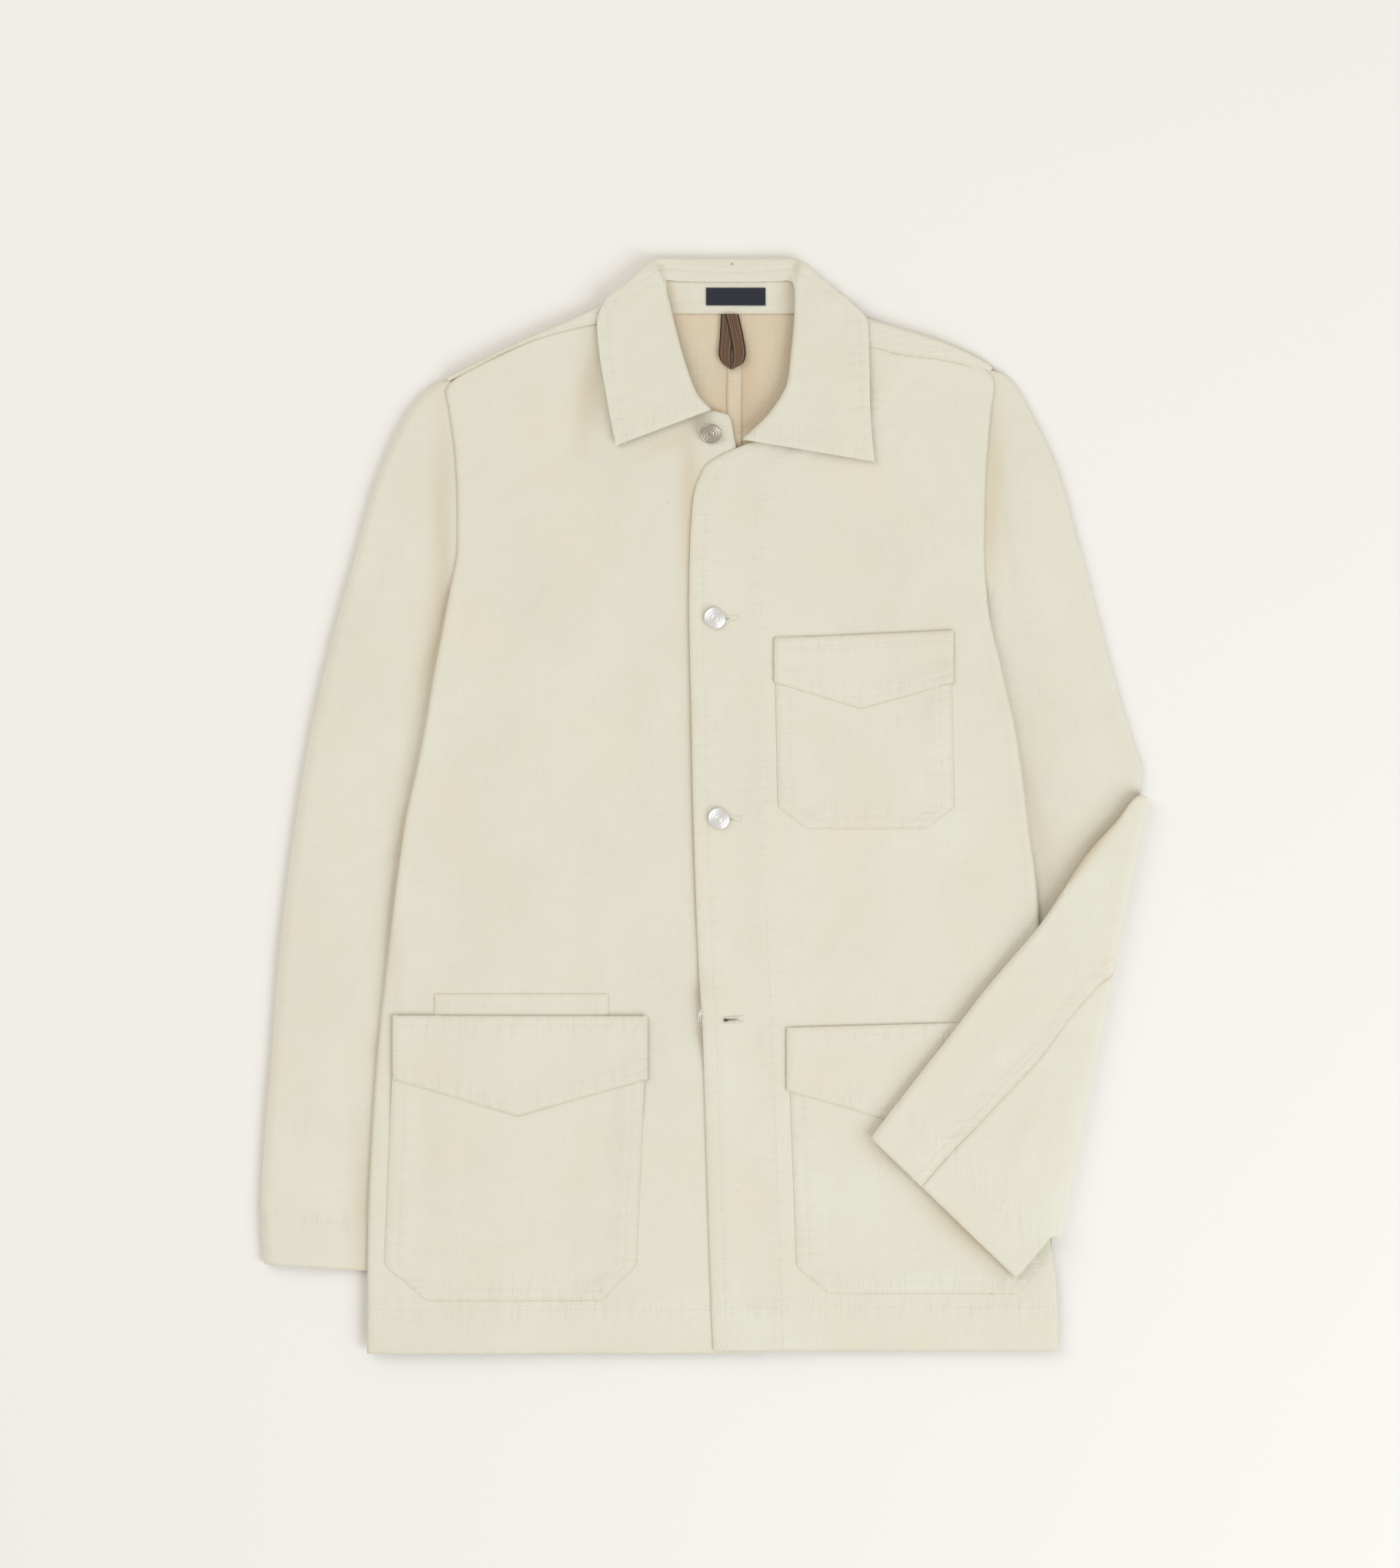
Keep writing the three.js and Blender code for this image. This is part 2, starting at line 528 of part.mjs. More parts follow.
// Collar fall: the part that shows, as a U round the neck, from its roll line to its outer edge
const FALL_ROWS = [
  { rollX: 3, rollY: 292, outX: -66, outY: 266, rollZ: 10.6, outZ: 10 },
  { rollX: -8, rollY: 305, outX: -70, outY: 285, rollZ: 10.6, outZ: 10 },
  { rollX: -16, rollY: 326, outX: -74, outY: 308, rollZ: 10.6, outZ: 10 },
  { rollX: -22, rollY: 347, outX: -78, outY: 332, rollZ: 10.6, outZ: 10.1 },
  { rollX: -27, rollY: 368, outX: -80, outY: 356, rollZ: 10.6, outZ: 10.4 },
  { rollX: -30, rollY: 381, outX: -74, outY: 373, rollZ: 10.2, outZ: 10.4 },
  { rollX: -29, rollY: 386, outX: -60, outY: 382, rollZ: 9, outZ: 10 },
  { rollX: -25, rollY: 387, outX: -40, outY: 399, rollZ: 6.8, outZ: 7 },
  { rollX: -18, rollY: 387, outX: -26, outY: 403, rollZ: 5.2, outZ: 5.4 },
  { rollX: 20, rollY: 387.5, outX: 20, outY: 401.5, rollZ: 5.1, outZ: 5.1 },
  { rollX: 54, rollY: 388, outX: 56, outY: 403, rollZ: 5.2, outZ: 5.4 },
  { rollX: 62, rollY: 387, outX: 72, outY: 396.5, rollZ: 6.8, outZ: 7 },
  { rollX: 66, rollY: 385, outX: 90, outY: 383.5, rollZ: 9, outZ: 9.4 },
  { rollX: 67, rollY: 378, outX: 106, outY: 373, rollZ: 10.8, outZ: 10.4 },
  { rollX: 67, rollY: 362, outX: 120, outY: 356, rollZ: 11.4, outZ: 10.4 },
  { rollX: 65, rollY: 338, outX: 121, outY: 328, rollZ: 11.5, outZ: 10.3 },
  { rollX: 62, rollY: 313, outX: 121.5, outY: 298, rollZ: 11.8, outZ: 10.2 },
  { rollX: 50, rollY: 291, outX: 123, outY: 273, rollZ: 11.9, outZ: 10.2 },
  { rollX: 29, rollY: 270, outX: 125, outY: 254, rollZ: 11.9, outZ: 10.2 },
];
// Back of the fall: over its top roll and down under the neck. depth is what lies underneath.
const ROLL_ROWS = [
  { x: -71, y: 377, top: 10.4, depth: 16, outX: -0.45, outY: 0.89 },
  { x: -60, y: 384, top: 10, depth: 24, outX: -0.55, outY: 0.83 },
  { x: -41, y: 401, top: 7, depth: 40, outX: -0.4, outY: 0.91 },
  { x: -26, y: 405, top: 5.4, depth: 48, outX: -0.08, outY: 1 },
  { x: 20, y: 403.5, top: 5.1, depth: 48, outX: 0, outY: 1 },
  { x: 58, y: 405, top: 5.4, depth: 48, outX: 0.08, outY: 1 },
  { x: 75, y: 398, top: 7, depth: 38, outX: 0.45, outY: 0.89 },
  { x: 91, y: 385, top: 9.4, depth: 26, outX: 0.5, outY: 0.87 },
  { x: 107, y: 375, top: 10.4, depth: 14, outX: 0.5, outY: 0.87 },
];

function collarFall() {
  const leafSteps = [0, 0.12, 0.34, 0.56, 0.78, 1];
  const leaf = FALL_ROWS.map((r) => leafSteps.map((t) => at(
    mix(r.rollX, r.outX, t), mix(r.rollY, r.outY, t), mix(r.rollZ, r.outZ, t),
  )));
  const roll = ROLL_ROWS.map((r) => {
    const out = at(r.outX, r.outY, 0).normalize();
    const base = at(r.x, r.y, 0).addScaledVector(out, -TURN);
    const under = [1, 0.5, 0.2].map((t) => base.clone().addScaledVector(out, -r.depth * t).setZ(FLOOR));
    const over = [1.2, 3].map((d) => base.clone().addScaledVector(out, -d).setZ(r.top));
    return [...under, ...halfTurn(base, out, FLOOR, r.top, SHOULDER_BULGE), ...over];
  });
  return joined(cloth(leaf), cloth(roll));
}

// Patch pockets and facings lie on their front, moved out by whole layers
function patch({ ys, left, right, height, layers, columns = 10 }) {
  return cloth(ys.map((y) => steps(columns).map((u) => {
    const x = mix(left(y), right(y), u);
    const lift = typeof layers === 'function' ? layers(y) : layers;
    return at(x, y, height(x, y) + LAYER * lift);
  })));
}

// A facing: straight across its top, pointed below
function facing({ left, right, top, side, apex, height, layers }) {
  const columns = steps(14).map((u) => mix(left, right, u));
  return cloth(steps(5).map((v) => columns.map((x) => {
    const t = (x - left) / (right - left);
    const tip = (apex.x - left) / (right - left);
    const low = t < tip ? mix(side, apex.y, t / tip) : mix(apex.y, side, (t - tip) / (1 - tip));
    const y = mix(low, mix(top.left, top.right, t), v);
    return at(x, y, height(x, y) + LAYER * layers);
  })));
}

const CHEST_LEFT = curve([{ y: -17, x: 74 }, { y: 0, x: 53.7 }, { y: 125, x: 51 }], 'y', 'x');
const CHEST_RIGHT = curve([{ y: -17, x: 164 }, { y: 0, x: 184 }, { y: 125, x: 181.5 }], 'y', 'x');
const HIP_RIGHT_LEFT = curve([
  { y: -366, x: -207 }, { y: -338, x: -237 }, { y: -270, x: -234.5 }, { y: -157, x: -229.5 },
], 'y', 'x');
const HIP_RIGHT_RIGHT = curve([
  { y: -366, x: -76 }, { y: -338, x: -51 }, { y: -250, x: -47 }, { y: -157, x: -43 },
], 'y', 'x');
const HIP_LEFT_LEFT = curve([{ y: -361, x: 91 }, { y: -340, x: 67.5 }, { y: -165, x: 61 }], 'y', 'x');
const HIP_LEFT_RIGHT = curve([
  { y: -361, x: 232 }, { y: -340, x: 248 }, { y: -316, x: 242 }, { y: -165, x: 239 },
], 'y', 'x');
const behindTool = (y) => 1 + smooth(-245, -212, y);

const pocketChest = () => patch({
  ys: [-17, -8, 0, 30, 60, 90, 118, 125.5],
  left: CHEST_LEFT, right: CHEST_RIGHT, height: frontLeftHeight, layers: 1,
});
const pocketHipRight = () => patch({
  ys: [-366, -352, -338, -310, -280, -250, -230, -212, -190, -158],
  left: HIP_RIGHT_LEFT, right: HIP_RIGHT_RIGHT, height: frontRightHeight, layers: behindTool, columns: 14,
});
const pocketTool = () => patch({
  ys: [-204, -185, -160, -139],
  left: () => -200.5, right: () => -71.5, height: frontRightHeight, layers: 1,
});
const pocketHipLeft = () => patch({
  ys: [-361, -350, -340, -310, -270, -230, -200, -166],
  left: HIP_LEFT_LEFT, right: HIP_LEFT_RIGHT, height: frontLeftHeight, layers: 1, columns: 14,
});

const chestFacing = () => facing({
  left: 50.8, right: 183.5, side: 91, apex: { x: 115, y: 71.7 }, top: { left: 123.5, right: 129.5 },
  height: frontLeftHeight, layers: 2,
});
const hipRightFacing = () => facing({
  left: -231, right: -42.7, side: -202, apex: { x: -139, y: -229 }, top: { left: -155, right: -155.5 },
  height: frontRightHeight, layers: 3,
});
const hipLeftFacing = () => facing({
  left: 60, right: 239.5, side: -210.5, apex: { x: 151, y: -237 }, top: { left: -164, right: -159 },
  height: frontLeftHeight, layers: 2,
});

// Ribbon loop folded to a point, sewn in at the neck
function hangerLoop() {
  const shape = new THREE.Shape([
    [12, 363.3], [10, 332], [19, 323], [30, 330], [24, 363.3],
  ].map(([x, y]) => new THREE.Vector2(x, y)).reverse());
  const geometry = new THREE.ExtrudeGeometry(shape, { depth: 1, bevelEnabled: false });
  return geometry.translate(0, 0, FLOOR + LAYER + LAYER + WALL / 2 + SEAM_GAP);
}

function labelPatch() {
  const { x, y, width, height, thick } = LABEL;
  return new THREE.BoxGeometry(width, height, thick).translate(
    x + width / 2, y + height / 2, FLOOR + 2 * LAYER + WALL / 2 + SEAM_GAP + thick / 2,
  );
}

// Tack button: a domed cap with a raised rim on a short stem
function tackButton() {
  const profile = [
    [0, 0], [3, 0], [3.2, 0.9], [7.2, 0.9], [BUTTON_RADIUS, 1.5], [BUTTON_RADIUS, 2.1],
    [7, BUTTON_HEIGHT], [5.4, 2.9], [4.6, 2.4], [1.5, 2.4], [0, 2.6],
  ].map(([r, z]) => new THREE.Vector2(r, z));
  return new THREE.LatheGeometry(profile, 16).rotateX(Math.PI / 2);
}
const BUTTONS = [
  { name: 'button_1', x: 4, y: 275.5, lies: frontRightHeight, lift: 3.3, tilt: 32 },
  { name: 'button_2', x: 7, y: 138.5, lies: frontLeftHeight },
  { name: 'button_3', x: 10, y: -9.6, lies: frontLeftHeight },
  { name: 'button_4', x: BUTTON_FOUR.x, y: BUTTON_FOUR.y, lies: frontRightHeight },
];

const canvas = (color) => new THREE.MeshStandardMaterial({ color, roughness: 0.92, metalness: 0 });
const CLOTH = canvas(0xe2deca);
const CLOTH_INSIDE = canvas(0xd6c7ac);
const RIBBON = canvas(0x6b4a33);
const NAVY = canvas(0x262b3d);
const STEEL = new THREE.MeshStandardMaterial({ color: 0xb9b9b6, roughness: 0.35, metalness: 0.9 });

const PIECES = [
  ['back_left', CLOTH_INSIDE, () => backPanel(RIGHT)],
  ['back_right', CLOTH_INSIDE, () => backPanel(LEFT)],
  ['back_seam_strip', CLOTH_INSIDE, seamStrip],
  ['front_right', CLOTH, frontRight],
  ['front_left', CLOTH, frontLeft],
  ['sleeve_right_top', CLOTH, () => sleeveRight('top')],
  ['sleeve_right_under', CLOTH, () => sleeveRight('under')],
  ['sleeve_left_top', CLOTH, () => sleeveLeft('top')],
  ['sleeve_left_under', CLOTH, () => sleeveLeft('under')],
  ['collar_stand', CLOTH, collarStand],
  ['collar_fall', CLOTH, collarFall],
  ['pocket_chest', CLOTH, pocketChest],
  ['pocket_chest_facing', CLOTH, chestFacing],
  ['pocket_tool_right', CLOTH, pocketTool],
  ['pocket_hip_right', CLOTH, pocketHipRight],
  ['pocket_hip_right_facing', CLOTH, hipRightFacing],
  ['pocket_hip_left', CLOTH, pocketHipLeft],
  ['pocket_hip_left_facing', CLOTH, hipLeftFacing],
  ['hanger_loop', RIBBON, hangerLoop],
  ['label', NAVY, labelPatch],
];

const group = new THREE.Group();
const jacket = new THREE.Group();
for (const [name, material, make] of PIECES) {
  const mesh = new THREE.Mesh(make(), material);
  mesh.name = name;
  jacket.add(mesh);
}
for (const { name, x, y, lies, lift = 0, tilt = 0 } of BUTTONS) {
  const mesh = new THREE.Mesh(tackButton(), STEEL);
  mesh.name = name;
  mesh.position.set(x, y, lies(x, y) + WALL / 2 + SEAM_GAP + lift);
  mesh.rotation.x = THREE.MathUtils.degToRad(tilt);
  jacket.add(mesh);
}

// The origin is at the middle of the underside
const box = new THREE.Box3().setFromObject(jacket);
jacket.position.set(-(box.min.x + box.max.x) / 2, -(box.min.y + box.max.y) / 2, -box.min.z);
group.add(jacket);
group.updateMatrixWorld(true);

export default group;
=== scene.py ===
"""A canvas chore jacket lying flat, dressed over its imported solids."""

import bmesh
import bpy
import numpy as np
from mathutils import Matrix, Vector


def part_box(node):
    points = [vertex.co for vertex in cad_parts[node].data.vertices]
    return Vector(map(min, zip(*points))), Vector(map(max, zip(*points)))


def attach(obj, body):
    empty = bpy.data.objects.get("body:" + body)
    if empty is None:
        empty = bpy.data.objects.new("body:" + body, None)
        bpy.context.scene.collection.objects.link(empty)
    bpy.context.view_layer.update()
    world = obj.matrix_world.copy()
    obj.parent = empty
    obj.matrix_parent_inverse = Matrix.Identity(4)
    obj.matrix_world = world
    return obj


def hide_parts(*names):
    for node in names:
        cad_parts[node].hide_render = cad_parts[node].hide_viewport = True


bl_info = {
    "name": "Flat-laid chore jacket",
    "version": (1, 0, 0),
    "blender": (4, 5, 0),
    "location": "3D View > Sidebar > Jacket",
    "description": "Cloth, stitching and buttons of a canvas chore jacket laid flat",
    "category": "Object",
}

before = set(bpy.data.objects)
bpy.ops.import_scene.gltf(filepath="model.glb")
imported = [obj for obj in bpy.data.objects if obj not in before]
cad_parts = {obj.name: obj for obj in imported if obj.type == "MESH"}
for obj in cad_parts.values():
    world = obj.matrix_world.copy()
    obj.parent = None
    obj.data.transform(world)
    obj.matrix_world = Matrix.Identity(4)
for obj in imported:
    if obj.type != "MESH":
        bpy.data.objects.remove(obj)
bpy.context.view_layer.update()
MM = 0.001

# Cloth walls and the steps between cloths that lie on each other, in millimetres
WALL = 1.2
SEAM_GAP = 0.3
LAYER = WALL + SEAM_GAP
FLOOR = WALL / 2
TUBE = 2.4
BACK_LIFT = LAYER + TUBE
FRONT_EDGE = BACK_LIFT + FLOOR + LAYER
FRONT_LOFT = 1.2
FRONT_FLAT = FRONT_EDGE + FRONT_LOFT
EDGE_ROLL = 8
PUFF = 2.5
SAG = 0.4
HEM = -405
CENTRE = 21.5
BUTTON_ROOM = 4.2
TURN = 2.5
SHOULDER_BULGE = 1.9

# Where the drawing's own origin lies in the frame, read from a fastened button
BUTTON_TWO = (7.0, 138.5)
low_corner, high_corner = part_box("button_2")
SHIFT = np.array([
    (low_corner[0] + high_corner[0]) / 2 / MM - BUTTON_TWO[0],
    (low_corner[1] + high_corner[1]) / 2 / MM - BUTTON_TWO[1],
    0.0,
])


# Curves and grids

def smooth(start, end, value):
    t = np.clip((np.asarray(value, float) - start) / (end - start), 0, 1)
    return t * t * (3 - 2 * t)


def mix(a, b, t):
    return a + (b - a) * t


def pchip(knots, values, at):
    """Smooth curve through values (first axis) at knots, with no overshoot."""
    knots = np.asarray(knots, float)
    values = np.asarray(values, float)
    flat = values.reshape(len(knots), -1)
    h = np.diff(knots)[:, None]
    slope = np.diff(flat, axis=0) / h
    tangent = np.zeros_like(flat)
    tangent[0] = slope[0]
    tangent[-1] = slope[-1]
    if len(knots) > 2:
        a, b = slope[:-1], slope[1:]
        same = a * b > 0
        safe_a = np.where(same, a, 1)
        safe_b = np.where(same, b, 1)
        tangent[1:-1] = np.where(same, 2 / (1 / safe_a + 1 / safe_b), 0)
    at = np.clip(np.asarray(at, float), knots[0], knots[-1])
    i = np.clip(np.searchsorted(knots, at, side="right") - 1, 0, len(knots) - 2)
    hi = (knots[i + 1] - knots[i])[:, None]
    t = ((at - knots[i]) / hi[:, 0])[:, None]
    out = flat[i] * (1 + 2 * t) * (1 - t) ** 2 + hi * tangent[i] * t * (1 - t) ** 2
    out += flat[i + 1] * t * t * (3 - 2 * t) + hi * tangent[i + 1] * t * t * (t - 1)
    return out.reshape((len(at),) + values.shape[1:])


def curve(*rows):
    """A function through (at, value) rows."""
    rows = sorted(rows)
    knots = [r[0] for r in rows]
    values = [r[1] for r in rows]

    def value(v):
        v = np.asarray(v, float)
        return pchip(knots, values, v.ravel()).reshape(v.shape)
    return value


def finer(grid, axis, step, edge_step, edge_width):
    """More rows along one axis: edge_step apart within edge_width of the ends, else step."""
    grid = np.moveaxis(grid, axis, 0)
    chord = np.linalg.norm(np.diff(grid, axis=0), axis=-1).mean(axis=tuple(range(1, grid.ndim - 1)))
    knots = np.concatenate([[0], np.cumsum(chord)])
    total = knots[-1]
    marks = [0.0]
    while marks[-1] < total - 1e-6:
        here = marks[-1]
        near = min(here, total - here)
        size = edge_step if near < edge_width else min(step, max(edge_step, total - edge_width - here))
        marks.append(min(total, here + size))
    if len(marks) > 2 and marks[-1] - marks[-2] < edge_step * 0.4:
        marks.pop(-2)
    out = pchip(knots, grid, marks)
    return np.moveaxis(out, 0, axis)


def normals(grid):
    along = np.gradient(grid, axis=0)
    across = np.gradient(grid, axis=1)
    n = np.cross(across, along)
    return n / np.maximum(np.linalg.norm(n, axis=-1, keepdims=True), 1e-9)


def reach(grid, axis):
    """Distance over the cloth from both ends of an axis."""
    step = np.linalg.norm(np.diff(grid, axis=axis), axis=-1)
    start = np.concatenate([np.zeros_like(step.take([0], axis)), np.cumsum(step, axis=axis)], axis=axis)
    return start, start.take([-1], axis) - start


def relief(p, lines):
    """Soft troughs and ridges: x, y, angle, length, width and rise of each."""
    z = np.zeros(p.shape[:-1])
    for x, y, angle, length, width, rise in lines:
        a = np.radians(angle)
        along = (p[..., 0] - x) * np.cos(a) + (p[..., 1] - y) * np.sin(a)
        across = (p[..., 1] - y) * np.cos(a) - (p[..., 0] - x) * np.sin(a)
        bend = 0.06 * width * np.sin(along / length * 2.1)
        z += rise * np.exp(-((along / length) ** 2) - ((across - bend) / width) ** 2)
    return z


# Body outline: side seam below the armpit, armhole above it
SIDE_LEFT = curve(
    (-406, -250), (-340, -250), (-250, -246.8), (-157, -240), (-100, -233), (-25, -224), (50, -208.4),
    (100, -200), (150, -190.5), (200, -183), (245, -184), (283, -188), (316, -194))
SIDE_RIGHT = curve(
    (-406, 261), (-345, 259.5), (-316, 253.5), (-250, 250), (-157, 248.5), (-88, 247), (-20, 239),
    (50, 230), (100, 219), (150, 208.5), (200, 206), (240, 207), (270, 209), (325, 215))
SHOULDER = curve(
    (-196, 315.5), (-180, 323), (-160, 333), (-125, 349.5), (-100, 360), (-80, 369), (-58, 378),
    (100, 366.5), (118, 361), (150, 352), (175, 344), (200, 333), (216, 324))
NECKLINE = curve((-58, 376), (-44, 371), (-28, 368), (66, 368), (82, 369), (96, 366))
SHOULDER_SEAM = curve(
    (-196, 310.5), (-150, 334), (-125, 344.5), (-105, 350), (-80, 355), (-58, 361), (100, 342.5),
    (130, 337), (150, 331.5), (170, 329), (190, 325), (200, 322), (216, 314))
NECK_LEFT = -58
NECK_RIGHT = 98
INNER_LEFT = curve(
    (-352, -179), (-275, -164), (-165, -142), (-45, -131), (10, -137), (55, -152), (98, -176), (128, -195.5))
INNER_RIGHT = curve(
    (-322, 262), (-270, 240), (-200, 208), (-120, 178), (-40, 160), (20, 162), (60, 176), (98, 196),
    (128, 214.2))
SIDES = {
    "left": {"sign": -1, "edge": SIDE_LEFT, "inner": INNER_LEFT, "corner": 316, "neck": NECK_LEFT},
    "right": {"sign": 1, "edge": SIDE_RIGHT, "inner": INNER_RIGHT, "corner": 325, "neck": NECK_RIGHT},
}

# The body's large folds, as in the solids
BODY_FOLDS = [
    (-84, 306, 95, 45, 20, -1.0), (-140, 215, 60, 80, 34, 1.0), (-120, 40, 75, 120, 48, 1.0),
    (30, 200, 92, 70, 34, -0.7), (165, 220, 115, 80, 34, 1.0), (120, -80, 80, 70, 46, 0.8),
]


def points(x, y):
    x, y = np.broadcast_arrays(np.asarray(x, float), np.asarray(y, float))
    return np.stack([x, y, np.zeros_like(x)], axis=-1)


def raised(x, y, height, extra=0.0):
    """Points over x and y at the height that a function gives, plus an extra."""
    p = points(x, y)
    p[..., 2] = height(p[..., 0], p[..., 1]) + extra
    return p


def back_height(x, y):
    z = FLOOR + LAYER * smooth(318, 350, y) * smooth(-122, -80, x) * smooth(157, 114, x)
    for side in SIDES.values():
        over_sleeve = side["sign"] * (x - side["inner"](y))
        z = z + BACK_LIFT * smooth(-76, -14, over_sleeve) * smooth(160, 128, y)
    return z


def front_shoulder(x):
    return np.minimum(SHOULDER(x) - 3.4, SHOULDER_SEAM(x) + 4)


def front_height(x, y, side):
    to_side = side["sign"] * (side["edge"](y) - x)
    distance = np.maximum(0, np.minimum(to_side, front_shoulder(x) - y))
    drop = 1 - np.minimum(1, distance / EDGE_ROLL)
    rest = np.minimum(1, distance / 40)
    sag = SAG * (BACK_LIFT + FLOOR - back_height(x, y))
    folds = relief(points(x, y), BODY_FOLDS)
    lifted = 1.5 * np.exp(-((to_side / 8) ** 2)) * smooth(-150, -60, y) * smooth(190, 130, y)
    return FRONT_EDGE + FRONT_LOFT * np.sqrt(1 - drop * drop) + rest * (folds - sag) + lifted


def front_right_height(x, y):
    return front_height(x, y, SIDES["left"])


BUTTON_FOUR = (2.3, -156.5)


def front_left_height(x, y):
    from_button = np.hypot(x - BUTTON_FOUR[0], y - BUTTON_FOUR[1])
    lift = LAYER * smooth(98, 48, x) + BUTTON_ROOM * smooth(34, 12, from_button)
    return front_height(x, y, SIDES["right"]) + lift


def half_turn(base, out, low, high, bulge, count=5):
    """Half a turn of cloth from low to high, as points bulging along out."""
    a = np.pi * np.linspace(0, 1, count + 1)
    p = np.array(base, float)[None, :] + np.outer(bulge * np.sin(a), out)
    p[:, 2] = (low + high) / 2 - (high - low) / 2 * np.cos(a)
    return p


def bulge_for(low, high):
    return min(4.5, ((high - low) / 2) ** 2 / 0.75)


# The coarse shapes of the solids, as grids of middle points in millimetres

SEAM_STRIP = 10.5
BACK_ROWS = [
    HEM, -330, -250, -170, -90, -30, 30, 80, 110, 128, 144, 160, 185, 215, 245, 270, 290, 304, 316,
]


def shoulder_out(x):
    slope = (SHOULDER(x + 2) - SHOULDER(x - 2)) / 4
    out = np.array([-float(slope), 1.0, 0.0])
    return out / np.linalg.norm(out)


BACK_HEM_RISE = 3.2
# Rows of the back above this height fan out to the shoulder line
FAN_FROM = 180


def back_grid(side_name):
    side = SIDES[side_name]
    sign, corner = side["sign"], side["corner"]
    centre = CENTRE + sign * SEAM_GAP / 2
    rows = []
    for row in BACK_ROWS:
        nominal = row
        if row > FAN_FROM:
            nominal = mix(FAN_FROM, corner, (row - FAN_FROM) / (BACK_ROWS[-1] - FAN_FROM))
        x = mix(float(side["edge"](nominal)), centre, np.linspace(0, 1, 15))
        top = np.where(sign * (x - side["neck"]) > 0, SHOULDER(x), NECKLINE(x)) - TURN
        lift = np.clip((nominal - FAN_FROM) / (corner - FAN_FROM), 0, 1)
        rows.append(raised(x, np.maximum(nominal + (top - corner) * lift, HEM + BACK_HEM_RISE), back_height))
    return np.array(rows)


def shoulder_grid(side_name):
    side = SIDES[side_name]
    sign, corner_x = side["sign"], float(side["edge"](side["corner"]))
    rows = []
    for x in np.linspace(corner_x - sign * 1.5, side["neck"] + sign * 2, 14):
        out = shoulder_out(x)
        inside_end = abs(x - corner_x)
        high = mix(FRONT_EDGE - 1.4, FRONT_FLAT + LAYER - 0.4, float(smooth(1, 16, inside_end)))
        base = np.array([x, float(SHOULDER(x)), 0]) - out * TURN
        low = float(back_height(base[0], base[1]))
        width = float(SHOULDER(x) - SHOULDER_SEAM(x)) * out[1] - TURN
        inside = [base - out * d + (0, 0, low) for d in (4, 1.5)]
        over = [base - out * width * t + (0, 0, high) for t in (0.35, 0.7, 1)]
        rows.append(np.array(inside + list(half_turn(base, out, low, high, SHOULDER_BULGE)) + over))
    return np.array(rows)


def seam_strip_grid():
    y = np.array([HEM + 1, -250, -90, 80, 200, 260, 300, 318, 330, 340, 350, 363.0])
    x = CENTRE + SEAM_STRIP * np.linspace(-0.5, 0.5, 3)
    p = points(x[None, :], y[:, None])
    p[..., 2] = back_height(CENTRE, p[..., 1]) + LAYER
    return p


EDGE_STEPS = [0, 1, 2.5, 5, 9]
RIGHT_CENTRE = curve(
    (HEM, 40), (-150, 30), (150, 24), (262, 23), (275, 20.4), (283.5, 19.4), (287.5, 18), (290, 14.6),
    (291.5, 7), (293, -8), (300, -29), (315, -42), (340, -51), (362, -55))
LEFT_CENTRE = curve(
    (HEM, 6), (-340, 3.4), (-216, -0.4), (-156, -2.4), (-129, -4.4), (-13, -8.7), (74, -10.5), (150, -12),
    (200, -11), (230, -8.5), (243, -4), (251, 0), (258, 10), (265, 25), (273, 45), (282, 62), (300, 77),
    (325, 87), (344, 91))


def shoulder_by_height(start, end):
    x = np.linspace(start, end, 11)
    return curve(*zip(front_shoulder(x), x))


SHOULDER_X_LEFT = shoulder_by_height(-194, NECK_LEFT - 3)
SHOULDER_X_RIGHT = shoulder_by_height(213, 104)


def front_grid(ys, outer, centre, height, columns):
    rows = []
    for y in ys:
        start, end = float(outer(y)), float(centre(y))
        width = end - start
        near = [start + np.sign(width) * min(d, abs(width) * 0.03 * (1 + d)) for d in EDGE_STEPS]
        rest = list(mix(near[-1], end, np.linspace(0, 1, columns + 1))[1:])
        rows.append(raised(np.array(near + rest), y, height))
    return np.array(rows)


def front_right_grid():
    ys = [HEM, -360, -300, -240, -180, -120, -60, -10, 30, 65, 100, 130, 160, 190, 230, 262, 272, 280, 286,
          289, 291.5, 296, 306, 320, 334, 346, 356, 361]
    return front_grid(ys, lambda y: SHOULDER_X_LEFT(y) if y > 309.5 else SIDE_LEFT(y), RIGHT_CENTRE,
                      front_right_height, 14)


def front_left_grid():
    ys = [HEM + 2, -360, -300, -240, -200, -180, -168, -156, -144, -130, -110, -60, -20, 10, 35, 60, 85, 110,
          150, 190, 225, 236, 243, 248, 253, 258, 264, 270, 282, 296, 312, 322, 330, 338, 343]
    return front_grid(ys, lambda y: SHOULDER_X_RIGHT(y) if y > 314 else SIDE_RIGHT(y), LEFT_CENTRE,
                      front_left_height, 16)


